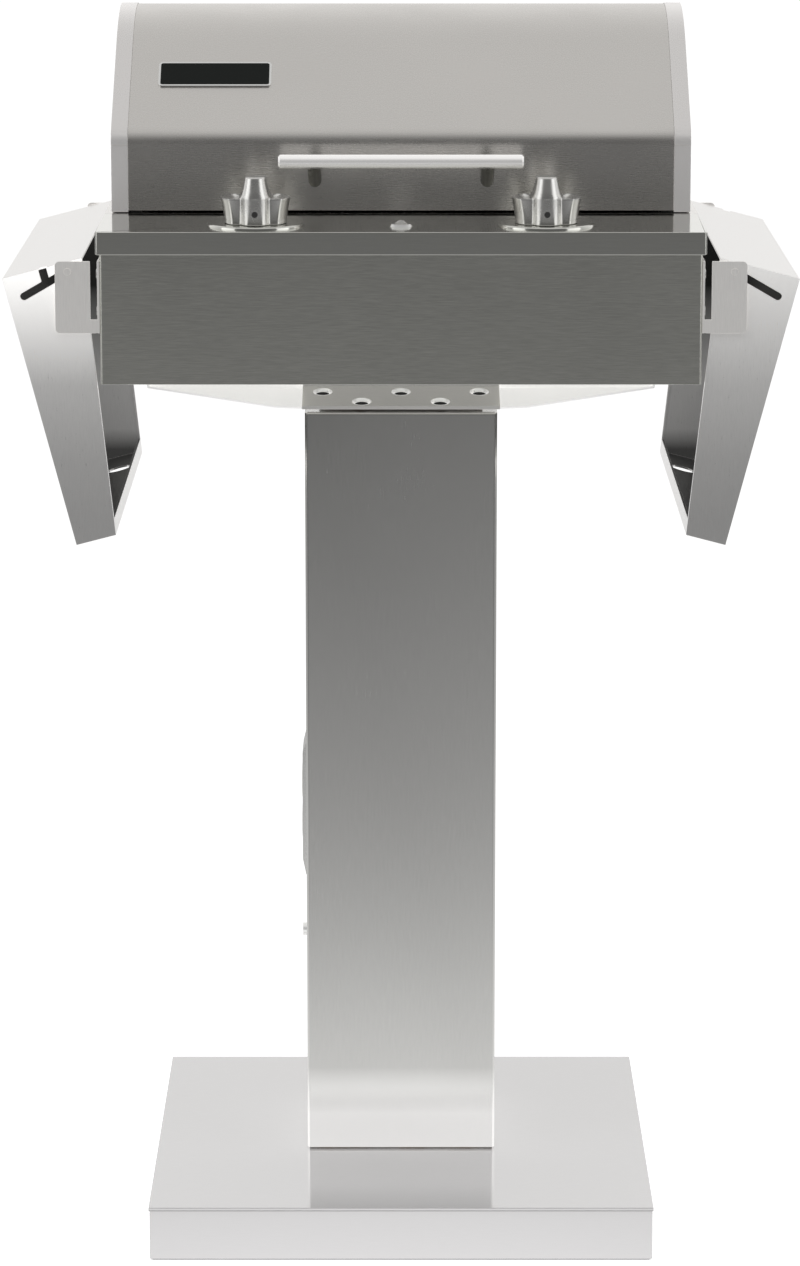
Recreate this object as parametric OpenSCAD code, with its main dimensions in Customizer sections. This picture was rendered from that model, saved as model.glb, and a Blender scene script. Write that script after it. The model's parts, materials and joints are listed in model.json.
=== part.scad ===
// Park barbecue grill on a pedestal: a tabletop electric grill with a rolled lid and two
// fold-down side shelves, carried by a folded column on a weighted base.
// X runs left to right, Y front to back, Z up. The origin is the middle of the base on the floor.

/* [Base] */
// Width of the base
base_w = 457; // [400:1:600]
// Depth of the base
base_d = 465; // [450:1:600]
// Height of the base
base_h = 50; // [40:1:70]

/* [Column] */
// Width of the column
col_w = 175; // [170:1:220]
// Depth of the column
col_d = 150; // [140:1:200]
// Height of the column above the base
col_h = 700.5; // [560:0.5:800]
// Place of the column's front face behind the middle of the base
col_front = -63; // [-80:1:-50]

/* [Grill body] */
// Width of the grill body
body_w = 524.6; // [490:0.2:600]
// Depth of the grill body
body_d = 440; // [425:1:455]
// Height of the grill body's walls
body_h = 132; // [125:1:150]
// Depth of the control ledge in front of the lid
ledge_d = 135; // [115:1:150]
// Height of the space between the column and the grill body
neck_h = 50.5; // [46:0.5:70]

/* [Lid] */
// Height of the closed lid above the ledge
lid_h = 173; // [160:1:200]
// Angle of the lid's front slope from the horizontal
lid_slope = 35.4; // [30:0.1:42]
// Radius of the lid's crown in front of its highest line
crown_front_r = 157; // [130:1:170]
// Radius of the lid's roll at the back
crown_back_r = 112; // [90:1:125]
// Length of the handle bar
handle_len = 217; // [190:1:300]
// Diameter of the handle bar
handle_d = 12.7; // [10:0.1:16]

/* [Side shelves] */
// Length of a shelf from the grill outwards
shelf_len = 244; // [200:1:280]
// Height of a shelf's rim at the grill end
shelf_deep = 72; // [66:1:80]
// Height of a shelf's rim at its outer end
shelf_shallow = 36; // [25:1:45]
// Lean of the hanging shelf from the vertical
shelf_lean = 14.6; // [12:0.1:15]
// Travel of a shelf along its slots when it locks
shelf_drop = 44; // [36:1:46]

/* [Knobs] */
// Diameter of a knob's skirt
knob_d = 57; // [45:1:64]
// Height of a knob
knob_h = 41; // [34:1:46]
// Distance of each knob from the middle
knob_x = 127.5; // [110:0.5:150]

/* [Hidden] */
$fn = 48;

// Colours as the eye sees them
steel = [0.76, 0.75, 0.73];
bright_steel = [0.86, 0.86, 0.85];
dark_steel = [0.45, 0.45, 0.45];
black = [0.07, 0.07, 0.07];
ivory = [0.85, 0.84, 0.80];
ballast_grey = [0.35, 0.35, 0.36];

// Sheet, clearances and the overrun that every cut shares
sheet = 2;
thin_sheet = 1.5;
bend_r = 3;
over = 1;
fit = 0.05;
slip = 0.3;
run_gap = 1;

// Base
pad_t = 3;
lip_h = 3;
lip_over = 1;
skirt_lift = 0.8;
skirt_x = base_w / 2 - lip_over;
skirt_y = base_d / 2 - lip_over;
base_in_x = skirt_x - sheet;
base_in_y = skirt_y - sheet;
base_top_z = base_h - lip_h;

// Column
col_gap = 2;
col_y0 = col_front;
col_y1 = col_front + col_d;
col_mid_y = (col_y0 + col_y1) / 2;
col_x = col_w / 2;
col_z0 = base_h + col_gap;
col_top = base_h + col_h;
col_in_x = col_x - sheet;
col_flange = 22;
foot_t = 6;
foot_rim = 30;
foot_wall = 3;
foot_bolt_in_x = 22;
foot_bolt_x = col_in_x - foot_bolt_in_x;
foot_bolt_in_y = 26;
foot_bolt_y = col_d / 2 - foot_bolt_in_y;
bolt_d = 8;
bolt_head_d = 14;
bolt_head_h = 5.5;
bolt_grip = 34;
bolt_hole = bolt_d + 2 * slip;

// Service panel at the back of the column
panel_w = 120;
panel_h = 400;
panel_up = 34;
panel_z0 = base_h + panel_up;
panel_margin = 10;
screw_d = 5;
screw_head_d = 9;
screw_head_h = 2.4;
screw_reach = 8;

// Power outlet in the column's left side
outlet_y = col_mid_y;
outlet_up = 320;
outlet_z = base_h + outlet_up;
plate_w = 79;
plate_h = 126;
plate_t = 4.4;
plate_bevel = 12;
plate_edge_t = 1;
box_w = 54;
box_h = 96;
box_t = 40;
face_d = 33;
face_pitch = 39;
face_proud = 0.6;
receptacle_h = 84;
receptacle_w = 36;
receptacle_t = 20;
strap_t = 1.2;
gland_up = 194;
gland_z = base_h + gland_up;
gland_d = 13;
gland_proud = 5;
gland_bore = 7;
gland_nut_t = 5;
gland_neck_d = 11;
conduit_d = 16;
conduit_wall = 1.5;
conduit_x = -60;

// Neck between column and grill
body_z0 = col_top + neck_h;
conduit_end = 10;
conduit_z0 = outlet_z + box_h / 2 - thin_sheet;
conduit_top = body_z0 + conduit_end;
riser_x = 75;
riser_y0 = -16;
riser_inset = 3;
riser_y1 = col_y1 - riser_inset;
riser_wall = 3;
riser_flange = 14;
riser_bolt_d = 6;
riser_bolt_head_d = 10;
riser_bolt_head_h = 4;
neck_slope = 13.3;
neck_x = 90;
neck_lip = 3.1;
neck_lift = 6;
neck_over = 2;
neck_front = col_front - neck_over;
neck_run = riser_y0 - sheet - neck_front;
vent_pitch = 35.8;
vent_d = 12.7;
vent_rim_d = 18;
vent_depth = 3.7;
vent_flare = (vent_rim_d - vent_d) / vent_depth;
vent_row_low = 11.2;
vent_row_high = 34.6;
wing_tip_x = 233;
wing_tip_y = -13;
wing_knee_x = 115;
wing_knee_in = 4;
wing_knee_y = col_front + wing_knee_in;
wing_back_reach = 50;
wing_back_y = col_mid_y + wing_back_reach;
wing_under = 4;
wing_inner_x = neck_x - wing_under;
wing_drop = 2.2;

// Grill body
body_x = body_w / 2;
body_y0 = -224;
body_y1 = body_y0 + body_d;
body_mid_y = (body_y0 + body_y1) / 2;
body_top = body_z0 + body_h;
band_over = 3.3;
band_h = 20;
band_x = body_x + band_over;
band_y0 = body_y0 - band_over;
band_y1 = body_y1 + band_over;
deck_z = body_top + sheet;
ledge_back = band_y0 + ledge_d;
fire_margin = 28;
fire_x = body_x - fire_margin;
fire_front_gap = 10;
fire_y0 = ledge_back + fire_front_gap;
fire_back_gap = 14;
fire_y1 = body_y1 - fire_back_gap;
fire_depth = 111;
fire_z0 = body_top - fire_depth;
fire_flange = 8;
drain_w = 60;
drain_d = 24;

// Grease tray and its rails
tray_x = 42;
tray_y0 = -60;
tray_h = 15;
tray_face_x = 52;
tray_face_h = 20;
tray_pull = 9;
tray_slide_gap = 0.4;
rail_t = 1.6;
rail_h = 10;

// Cooking grates and their rails
grate_down = 33;
grate_z = body_top - grate_down;
rail_w = 10;
rod_d = 6;
bar_d = 7;
grate_gap = 3;
grate_edge_gap = 2.5;
grate_rods = 11;

// Heating elements
element_d = 8;
element_down = 61;
element_z = body_top - element_down;
element_x0 = 40;
element_pitch = 46;
element_runs = 4;
element_front_in = 34;
element_back_in = 42;
element_tail = 24;
support_y = 110;
support_w = 16;
support_t = 3;

// Controls under the ledge
knob_y = -174;
control_w = 50;
control_h = 30;
control_neck_d = 14;
control_neck_h = 3;
shaft_d = 6;
shaft_bore = shaft_d + 2 * fit;
shaft_in = 18;
shaft_up = 16;
bezel_d = 86;
bezel_top_d = 80;
bezel_t = 2.6;
knob_gap = 0.5;
knob_z0 = deck_z + bezel_t + knob_gap;
skirt_h = 22;
skirt_flare = 5;
skirt_top_d = knob_d + skirt_flare;
skirt_foot_h = 3;
flute_d = 14;
flute_out = 2;
flute_turn = 32;
shoulder_r = 16;
shoulder_x = 24;
shoulder_rise = 12;
hub_w = 28;
hub_h = 31;
grip_w = 16;
grip_foot_w = 19;
grip_foot_z = 19;
grip_end_y = 18;
pointer_d = 5;
pointer_deep = 8;
pointer_z = 9;
indicator_y = -184;
indicator_d = 21;
indicator_h = 2.4;
lens_d = 13;
lens_rise = 3;
lens_stem_d = 9;
lens_stem = 14;

// Lid
lid_set_back = 3;
lid_y0 = ledge_back + lid_set_back;
lid_y1 = body_y1;
lid_gap = 2.5;
strip_gap = 0.8;
lid_z0 = deck_z + lid_gap;
lid_top = deck_z + lid_h;
lid_x = 259;
band_w = 15;
band_step = 0.8;
strip_step = 1.6;
lid_core_x = lid_x - band_w;
front_bend_r = 20;
liner_in = 14;
liner_lift = 10;
arc_steps = 10;

// Curve centres of the lid's side profile
crown_y = lid_y1 - crown_back_r;
crown_front_z = lid_top - crown_front_r;
crown_back_z = lid_top - crown_back_r;
slope_ny = -sin(lid_slope);
slope_nz = cos(lid_slope);
bend_y = lid_y0 + front_bend_r;
slope_reach = slope_ny * crown_y + slope_nz * crown_front_z + crown_front_r;
bend_z = (slope_reach - front_bend_r - slope_ny * bend_y) / slope_nz;

// Lid handle
handle_out = 45;
handle_y = lid_y0 - handle_out;
handle_up = 51;
handle_z = deck_z + handle_up;
handle_chamfer = 1.5;
post_x = 77;
post_d = 12;
post_fall = 21;
post_run = lid_y0 + band_step - handle_y;
post_angle = atan2(post_fall, post_run);
post_screw_head_d = 10;
post_screw_head_h = 3;

// Bare name plate on the lid's slope
name_w = 102;
name_l = 33;
name_t = 1.6;
name_rim = 2;
name_r = 4;
name_field_t = 1;
name_field_dip = 0.3;
name_mid_x = -168;
name_up = 70.5;

// Lid hinges
hinge_x = 180;
hinge_pin_d = 5;
hinge_bore = hinge_pin_d + 2 * fit;
knuckle_d = 9;
knuckle_w = 16;
knuckle_gap = 0.4;
hinge_w = 3 * knuckle_w;
hinge_out = 6;
hinge_y = band_y1 + hinge_out;
hinge_up = 3;
hinge_z = deck_z + hinge_up;
leaf_t = 2;
leaf_down = 16;
leaf_up = 34;
hinge_rise = 8;

// Shelf brackets and pins
bracket_x = 301;
bracket_low = 45;
bracket_z0 = body_z0 + bracket_low;
bracket_high = 108;
bracket_z1 = body_z0 + bracket_high;
bracket_t = 2.5;
bracket_flange = 40;
bracket_corner_r = 4;
bracket_inset = 1;
bracket_slot_w = 6;
bracket_foot = 12;
bracket_screw_z = 15;
pin_x = 290;
pin_high = 99;
pin_z = body_z0 + pin_high;
pin_d = 6;
pin_head_d = 10;
pin_head_t = 2;
pin_proud = 0.5;
bracket_y0 = body_y0 + bracket_inset;
bracket_y1 = body_y1 - bracket_inset;
shelf_y0 = bracket_y0 + bracket_t + thin_sheet;
shelf_y1 = bracket_y1 - bracket_t - thin_sheet;
shelf_mid_y = (shelf_y0 + shelf_y1) / 2;

// Shelf pan, seen level with its pin at the origin
shelf_lip = 3;
shelf_end_lip = 12;
slot_w = 6.6;
slot_tilt = 15.5;
pin_in = 8.1;
pin_up = 15.1;
notch_w = 7;
notch_up = 36;
notch_deep = 8;
hang_slot_l = 26;
hang_slot_w = 22;
hang_slot_in = 75;
shelf_fold = 90 + shelf_lean;

function arc(cy, cz, r, a0, a1) = [
    for (i = [0 : arc_steps]) let (a = a0 + (a1 - a0) * i / arc_steps) [cy + r * cos(a), cz + r * sin(a)]
];

// Side profile of the lid, moved inwards by t, from its front foot over the top to its back foot
function lid_profile(t, foot) = concat(
    [[lid_y0 + t, foot]],
    arc(bend_y, bend_z, front_bend_r - t, 180, 90 + lid_slope),
    arc(crown_y, crown_front_z, crown_front_r - t, 90 + lid_slope, 90),
    arc(crown_y, crown_back_z, crown_back_r - t, 90, 0),
    [[lid_y1 - t, foot]]
);

// A box between two places along each axis
module block(x, y, z) {
    translate([x[0], y[0], z[0]])
        cube([x[1] - x[0], y[1] - y[0], z[1] - z[0]]);
}

// The same box on both sides of the middle
module both(x) {
    for (side = [-1, 1])
        translate([side * x, 0, 0])
            children();
}

module turned_about(y) {
    translate([0, 2 * y, 0])
        rotate([0, 0, 180])
            children();
}

module soft_rect(x, y, r) {
    for (sx = [x[0] + r, x[1] - r])
        for (sy = [y[0] + r, y[1] - r])
            translate([sx, sy])
                circle(r = r);
    translate([x[0] + r, y[0]])
        square([x[1] - x[0] - 2 * r, y[1] - y[0]]);
    translate([x[0], y[0] + r])
        square([x[1] - x[0], y[1] - y[0] - 2 * r]);
}

// A folded four-sided wall with rounded bends
module folded_wall(x, y, z, wall, r) {
    translate([0, 0, z[0]])
        linear_extrude(z[1] - z[0])
            difference() {
                soft_rect(x, y, r);
                translate([x[0] + wall, y[0] + wall])
                    square([x[1] - x[0] - 2 * wall, y[1] - y[0] - 2 * wall]);
            }
}

// A profile drawn in Y and Z, carried from x[0] to x[1]
module along_x(x) {
    translate([x[0], 0, 0])
        rotate([90, 0, 90])
            linear_extrude(x[1] - x[0])
                children();
}

module base_pad() {
    color(black)
        block([-base_in_x, base_in_x], [-base_in_y, base_in_y], [0, pad_t]);
}

module foot_bolt_places() {
    for (x = [-foot_bolt_x, foot_bolt_x])
        for (y = [col_mid_y - foot_bolt_y, col_mid_y + foot_bolt_y])
            translate([x, y, 0])
                children();
}

module base_ballast() {
    color(ballast_grey)
        difference() {
            block([-base_in_x, base_in_x], [-base_in_y, base_in_y], [pad_t, base_top_z]);
            foot_bolt_places()
                translate([0, 0, base_h - bolt_grip])
                    cylinder(d = bolt_d + 2 * fit, h = bolt_grip);
        }
}

module base_cover() {
    color(bright_steel)
        difference() {
            union() {
                block([-base_w / 2, base_w / 2], [-base_d / 2, base_d / 2], [base_top_z, base_h]);
                block([-skirt_x, skirt_x], [-skirt_y, skirt_y], [skirt_lift, base_top_z]);
            }
            block([-base_in_x, base_in_x], [-base_in_y, base_in_y], [-over, base_top_z]);
            foot_bolt_places()
                cylinder(d = bolt_hole, h = base_h + over);
        }
}

module column_foot() {
    rim_y0 = col_y0 + sheet;
    rim_y1 = col_y1 - sheet;
    color(dark_steel)
        difference() {
            block([-col_in_x, col_in_x], [rim_y0, rim_y1], [base_h, base_h + foot_rim]);
            block([foot_wall - col_in_x, col_in_x - foot_wall],
                [rim_y0 + foot_wall, rim_y1 - foot_wall],
                [base_h + foot_t, base_h + foot_rim + over]);
            foot_bolt_places()
                cylinder(d = bolt_hole, h = base_h + foot_t + over);
        }
}

module foot_bolts() {
    color(steel)
        foot_bolt_places() {
            translate([0, 0, base_h - bolt_grip])
                cylinder(d = bolt_d, h = bolt_grip + foot_t);
            translate([0, 0, base_h + foot_t])
                cylinder(d = bolt_head_d, h = bolt_head_h, $fn = 6);
        }
}

module rear_screw_places() {
    for (x = [-1, 1])
        for (z = [panel_z0, panel_z0 + panel_h - panel_margin])
            translate([x * (panel_w - panel_margin) / 2, 0, z + panel_margin / 2])
                children();
}

module riser_bolt_places() {
    for (x = [-1, 1])
        for (y = [riser_y0 + riser_flange, riser_y1 - riser_flange / 2 - run_gap])
            translate([x * (riser_x - riser_wall - riser_bolt_head_d / 2 - slip), y, 0])
                children();
}

module column_shell() {
    color(steel)
        difference() {
            union() {
                folded_wall([-col_x, col_x], [col_y0, col_y1], [col_z0, col_top - bend_r],
                    sheet, bend_r);
                difference() {
                    column_crown();
                    block([col_flange - col_x, col_x - col_flange],
                        [col_y0 + col_flange, col_y1 - col_flange],
                        [col_top - bend_r - over, col_top + over]);
                    block([-col_in_x, col_in_x], [col_y0 + sheet, col_y1 - sheet],
                        [col_top - bend_r - over, col_top - sheet]);
                }
            }
            block([panel_margin - panel_w / 2, panel_w / 2 - panel_margin],
                [col_mid_y, col_y1 + over],
                [panel_z0 + panel_margin, panel_z0 + panel_h - panel_margin]);
            rear_screw_places()
                translate([0, col_y1 + over, 0])
                    rotate([90, 0, 0])
                        cylinder(d = screw_d + 2 * fit, h = sheet + 2 * over);
            block([-col_x - over, -col_in_x + over],
                [outlet_y - box_w / 2 + sheet, outlet_y + box_w / 2 - sheet],
                [outlet_z - box_h / 2 + sheet, outlet_z + box_h / 2 - sheet]);
            translate([-col_x - over, outlet_y, gland_z])
                rotate([0, 90, 0])
                    cylinder(d = gland_neck_d + 2 * slip, h = sheet + 2 * over);
            riser_bolt_places()
                translate([0, 0, col_top - bend_r])
                    cylinder(d = riser_bolt_d + 2 * slip, h = bend_r + over);
            translate([conduit_x, outlet_y, col_top - bend_r])
                cylinder(d = conduit_d + 2 * run_gap, h = bend_r + over);
        }
}

// The folded edge that closes the top of the column, rounded at the front
module column_crown() {
    intersection() {
        translate([0, 0, col_top - bend_r])
            linear_extrude(bend_r)
                soft_rect([-col_x, col_x], [col_y0, col_y1], bend_r);
        union() {
            translate([-col_x - over, col_y0 + bend_r, col_top - bend_r])
                rotate([0, 90, 0])
                    cylinder(r = bend_r, h = col_w + 2 * over);
            block([-col_x - over, col_x + over], [col_y0 + bend_r, col_y1 + over],
                [col_top - bend_r - over, col_top + over]);
        }
    }
}

module rear_panel() {
    color(steel)
        difference() {
            block([-panel_w / 2, panel_w / 2], [col_y1, col_y1 + thin_sheet],
                [panel_z0, panel_z0 + panel_h]);
            rear_screw_places()
                translate([0, col_y1 + sheet + over, 0])
                    rotate([90, 0, 0])
                        cylinder(d = screw_d + 2 * fit, h = 2 * sheet + over);
        }
}

module rear_panel_screws() {
    color(bright_steel)
        rear_screw_places() {
            translate([0, col_y1 + thin_sheet, 0])
                rotate([90, 0, 0])
                    cylinder(d = screw_d, h = screw_reach);
            translate([0, col_y1 + thin_sheet + screw_head_h, 0])
                rotate([90, 0, 0])
                    cylinder(d = screw_head_d, h = screw_head_h);
        }
}

module outlet_box() {
    box_x1 = -col_in_x + box_t;
    color(dark_steel)
        difference() {
            block([-col_in_x, box_x1], [outlet_y - box_w / 2, outlet_y + box_w / 2],
                [outlet_z - box_h / 2, outlet_z + box_h / 2]);
            block([-col_in_x - over, box_x1 - thin_sheet],
                [outlet_y - box_w / 2 + thin_sheet, outlet_y + box_w / 2 - thin_sheet],
                [outlet_z - box_h / 2 + thin_sheet, outlet_z + box_h / 2 - thin_sheet]);
            translate([conduit_x, outlet_y, outlet_z])
                cylinder(d = conduit_d + 2 * fit, h = box_h);
        }
}

module receptacle() {
    strap_x0 = -col_x - plate_edge_t;
    color(ivory) {
        block([strap_x0, strap_x0 + receptacle_t],
            [outlet_y - receptacle_w / 2, outlet_y + receptacle_w / 2],
            [outlet_z - receptacle_h / 2, outlet_z + receptacle_h / 2]);
        for (z = [-1, 1])
            translate([-col_x - plate_t - face_proud, outlet_y, outlet_z + z * face_pitch / 2])
                rotate([0, 90, 0])
                    cylinder(d = face_d, h = plate_t + face_proud);
        block([strap_x0 + receptacle_t - strap_t, strap_x0 + receptacle_t],
            [outlet_y - box_w / 2 + thin_sheet, outlet_y + box_w / 2 - thin_sheet],
            [outlet_z - receptacle_w / 2, outlet_z + receptacle_w / 2]);
    }
}

module outlet_plate() {
    inner_w = plate_w - 2 * plate_bevel;
    inner_h = plate_h - 2 * plate_bevel;
    color(bright_steel)
        difference() {
            hull() {
                block([-col_x - plate_edge_t, -col_x],
                    [outlet_y - plate_w / 2, outlet_y + plate_w / 2],
                    [outlet_z - plate_h / 2, outlet_z + plate_h / 2]);
                block([-col_x - plate_t, -col_x],
                    [outlet_y - inner_w / 2, outlet_y + inner_w / 2],
                    [outlet_z - inner_h / 2, outlet_z + inner_h / 2]);
            }
            block([-col_x - plate_edge_t, -col_x + over],
                [outlet_y - receptacle_w / 2 - slip, outlet_y + receptacle_w / 2 + slip],
                [outlet_z - receptacle_h / 2 - slip, outlet_z + receptacle_h / 2 + slip]);
            for (z = [-1, 1])
                translate([-col_x - plate_t - over, outlet_y, outlet_z + z * face_pitch / 2])
                    rotate([0, 90, 0])
                        cylinder(d = face_d + 2 * slip, h = plate_t + 2 * over);
        }
}

module supply_gland() {
    color(bright_steel)
        difference() {
            union() {
                translate([-col_x - gland_proud, outlet_y, gland_z])
                    rotate([0, 90, 0])
                        cylinder(d = gland_d, h = gland_proud);
                translate([-col_x, outlet_y, gland_z])
                    rotate([0, 90, 0])
                        cylinder(d = gland_neck_d, h = sheet);
                translate([-col_in_x, outlet_y, gland_z])
                    rotate([0, 90, 0])
                        cylinder(d = gland_d + sheet, h = gland_nut_t, $fn = 6);
            }
            translate([-col_x - gland_proud - over, outlet_y, gland_z])
                rotate([0, 90, 0])
                    cylinder(d = gland_bore, h = gland_proud + sheet + gland_nut_t + 2 * over);
        }
}

module conduit() {
    color(dark_steel)
        translate([conduit_x, outlet_y, conduit_z0]) {
            difference() {
                cylinder(d = conduit_d, h = conduit_top - conduit_z0);
                translate([0, 0, -over])
                    cylinder(d = conduit_d - 2 * conduit_wall, h = conduit_top - conduit_z0 + 2 * over);
            }
        }
}

module head_riser() {
    color(dark_steel)
        difference() {
            block([-riser_x, riser_x], [riser_y0, riser_y1], [col_top, body_z0]);
            block([riser_wall - riser_x, riser_x - riser_wall],
                [riser_y0 + riser_wall, riser_y1 - riser_wall],
                [col_top + riser_wall, body_z0 - riser_wall]);
            block([riser_wall + riser_flange - riser_x, riser_x - riser_wall - riser_flange],
                [riser_y0 + riser_flange + riser_wall, riser_y1 - riser_wall - riser_flange],
                [col_top - over, body_z0 + over]);
            translate([conduit_x, outlet_y, col_top - over])
                cylinder(d = conduit_d + 2 * run_gap, h = neck_h + 2 * over);
            riser_bolt_places()
                translate([0, 0, col_top - over])
                    cylinder(d = riser_bolt_d + 2 * slip, h = neck_h + 2 * over);
        }
}

module riser_bolts() {
    low_z = col_top + riser_wall;
    high_z = body_z0 - riser_wall;
    color(steel)
        riser_bolt_places() {
            translate([0, 0, col_top - sheet - riser_wall])
                cylinder(d = riser_bolt_d, h = sheet + 2 * riser_wall);
            translate([0, 0, low_z])
                cylinder(d = riser_bolt_head_d, h = riser_bolt_head_h, $fn = 6);
            translate([0, 0, high_z])
                cylinder(d = riser_bolt_d, h = riser_wall + sheet);
            translate([0, 0, high_z - riser_bolt_head_h])
                cylinder(d = riser_bolt_head_d, h = riser_bolt_head_h, $fn = 6);
        }
}

function wing_z(y) = col_top + neck_lift - wing_drop + (y - neck_front) * tan(neck_slope);
function on_slope(y) = (y - neck_front) / cos(neck_slope);

// A support arm of the grill, drawn for the left side
module wing() {
    knee_v = on_slope(wing_knee_y);
    tip_v = on_slope(wing_tip_y);
    riser_v = on_slope(riser_y0);
    back_v = on_slope(wing_back_y);
    color(bright_steel) {
        translate([0, neck_front, wing_z(neck_front) - sheet])
            rotate([neck_slope, 0, 0])
                linear_extrude(sheet)
                    polygon([
                        [-wing_inner_x, on_slope(col_front + run_gap)],
                        [-wing_knee_x, knee_v],
                        [-wing_tip_x, tip_v],
                        [-wing_tip_x, back_v],
                        [-riser_x, back_v],
                        [-riser_x, riser_v],
                        [-wing_inner_x, riser_v]
                    ]);
        along_x([-wing_tip_x, sheet - wing_tip_x])
            polygon([
                [wing_tip_y, wing_z(wing_tip_y) - sheet],
                [wing_back_y, wing_z(wing_back_y) - sheet],
                [wing_back_y, body_z0],
                [wing_tip_y, body_z0]
            ]);
        along_x([-riser_x - sheet, -riser_x])
            polygon([
                [riser_y0, wing_z(riser_y0) - sheet],
                [wing_back_y, wing_z(wing_back_y) - sheet],
                [wing_back_y, body_z0],
                [riser_y0, body_z0]
            ]);
    }
}

module left_wing() {
    wing();
}

module right_wing() {
    mirror([1, 0, 0])
        wing();
}

module vent_places() {
    for (i = [-2 : 2])
        translate([i * vent_pitch, i % 2 == 0 ? vent_row_high : vent_row_low, 0])
            children();
}

// Bent cover in front of the riser: a short lip, a slope with dished vents and an upright edge
module neck_cover() {
    neck_top = col_top + neck_lift;
    slope_sheet = sheet / cos(neck_slope);
    slope_rise = tan(neck_slope);
    back_z = neck_top + neck_run * slope_rise;
    color(steel)
        difference() {
            union() {
                along_x([-neck_x, neck_x])
                    polygon([
                        [neck_front, neck_top - neck_lip],
                        [neck_front, neck_top],
                        [neck_front + neck_run, back_z],
                        [neck_front + neck_run, body_z0],
                        [riser_y0, body_z0],
                        [riser_y0, back_z + sheet * slope_rise - slope_sheet],
                        [neck_front + sheet, neck_top + sheet * slope_rise - slope_sheet],
                        [neck_front + sheet, neck_top - neck_lip]
                    ]);
                translate([0, neck_front, neck_top])
                    rotate([neck_slope, 0, 0])
                        vent_places()
                            translate([0, 0, -vent_depth])
                                cylinder(d1 = vent_d + 2 * thin_sheet, d2 = vent_rim_d,
                                    h = vent_depth - sheet + slip);
            }
            translate([0, neck_front, neck_top])
                rotate([neck_slope, 0, 0])
                    vent_places()
                        translate([0, 0, -vent_depth - over])
                            cylinder(d1 = vent_d - vent_flare * over, d2 = vent_rim_d + vent_flare * over,
                                h = vent_depth + 2 * over);
        }
}

module body_bottom() {
    color(steel)
        difference() {
            block([sheet - body_x, body_x - sheet], [body_y0 + sheet, body_y1 - sheet],
                [body_z0, body_z0 + sheet]);
            translate([conduit_x, outlet_y, body_z0 - over])
                cylinder(d = conduit_d + 2 * fit, h = sheet + 2 * over);
            riser_bolt_places()
                translate([0, 0, body_z0 - over])
                    cylinder(d = riser_bolt_d + 2 * slip, h = sheet + 2 * over);
        }
}

module bracket_screw_places() {
    for (turn = [0, 1])
        for (y = [bracket_y0 + bracket_flange - panel_margin, bracket_y1 - bracket_flange + panel_margin])
            for (z = [bracket_z0 + bracket_screw_z, bracket_z1 - bracket_screw_z])
                mirror([turn, 0, 0])
                    translate([-body_x, y, z])
                        rotate([0, 90, 0])
                            children();
}

module body_shell() {
    color(steel)
        difference() {
            folded_wall([-body_x, body_x], [body_y0, body_y1], [body_z0, body_top], sheet, bend_r);
            block([-tray_x - run_gap, tray_x + run_gap],
                [body_mid_y, body_y1 + over],
                [body_z0 + sheet, body_z0 + sheet + tray_h + run_gap + tray_slide_gap]);
            bracket_screw_places()
                translate([0, 0, -over])
                    cylinder(d = screw_d + 2 * fit, h = sheet + 2 * over);
        }
}

module top_frame() {
    color(steel)
        difference() {
            translate([0, 0, body_top + sheet - band_h])
                linear_extrude(band_h)
                    difference() {
                        soft_rect([-band_x, band_x], [band_y0, band_y1], bend_r);
                        translate([-band_x - over, band_y0 - over])
                            square([2 * band_x + 2 * over, ledge_d + over]);
                    }
            block([sheet - band_x, band_x - sheet], [band_y0, band_y1 - sheet],
                [body_top - band_h, body_top]);
            block([thin_sheet - fire_x, fire_x - thin_sheet], [fire_y0 + thin_sheet, fire_y1 - thin_sheet],
                [body_top - over, deck_z + over]);
        }
}

module control_panel() {
    color(steel)
        difference() {
            translate([0, 0, body_top + sheet - band_h])
                linear_extrude(band_h)
                    intersection() {
                        soft_rect([-band_x, band_x], [band_y0, band_y1], bend_r);
                        translate([-band_x - over, band_y0 - over])
                            square([2 * band_x + 2 * over, ledge_d + over]);
                    }
            block([sheet - band_x, band_x - sheet], [band_y0 + sheet, band_y1],
                [body_top - band_h, body_top]);
            both(knob_x)
                translate([0, knob_y, body_top - over])
                    cylinder(d = control_neck_d + 2 * fit, h = sheet + 2 * over);
            translate([0, indicator_y, body_top - over])
                cylinder(d = lens_stem_d + 2 * fit, h = sheet + 2 * over);
        }
}

module firebox() {
    color(dark_steel)
        difference() {
            union() {
                block([-fire_x, fire_x], [fire_y0, fire_y1], [fire_z0, body_top]);
                block([-fire_x - fire_flange, fire_x + fire_flange],
                    [fire_y0 - fire_flange, fire_y1 + fire_flange],
                    [body_top - thin_sheet, body_top]);
            }
            block([thin_sheet - fire_x, fire_x - thin_sheet], [fire_y0 + thin_sheet, fire_y1 - thin_sheet],
                [fire_z0 + thin_sheet, body_top + over]);
            block([-drain_w / 2, drain_w / 2], [col_mid_y - drain_d / 2, col_mid_y + drain_d / 2],
                [fire_z0 - over, fire_z0 + thin_sheet + over]);
            for (side = [-1, 1])
                for (run = [0, element_runs - 1])
                    translate([side * (element_x0 + run * element_pitch), fire_y0 - over, element_z])
                        rotate([-90, 0, 0])
                            cylinder(d = element_d + 2 * slip, h = thin_sheet + 2 * over);
        }
}

module grate_rails() {
    color(dark_steel)
        for (y = [[fire_y0 + thin_sheet, fire_y0 + thin_sheet + rail_w],
                  [fire_y1 - thin_sheet - rail_w, fire_y1 - thin_sheet]]) {
            block([thin_sheet - fire_x, fire_x - thin_sheet], y, [grate_z - sheet, grate_z]);
        }
}

module element_support() {
    z1 = element_z - element_d / 2;
    color(dark_steel)
        block([thin_sheet - fire_x, fire_x - thin_sheet], [support_y, support_y + support_w],
            [z1 - support_t, z1]);
}

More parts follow.
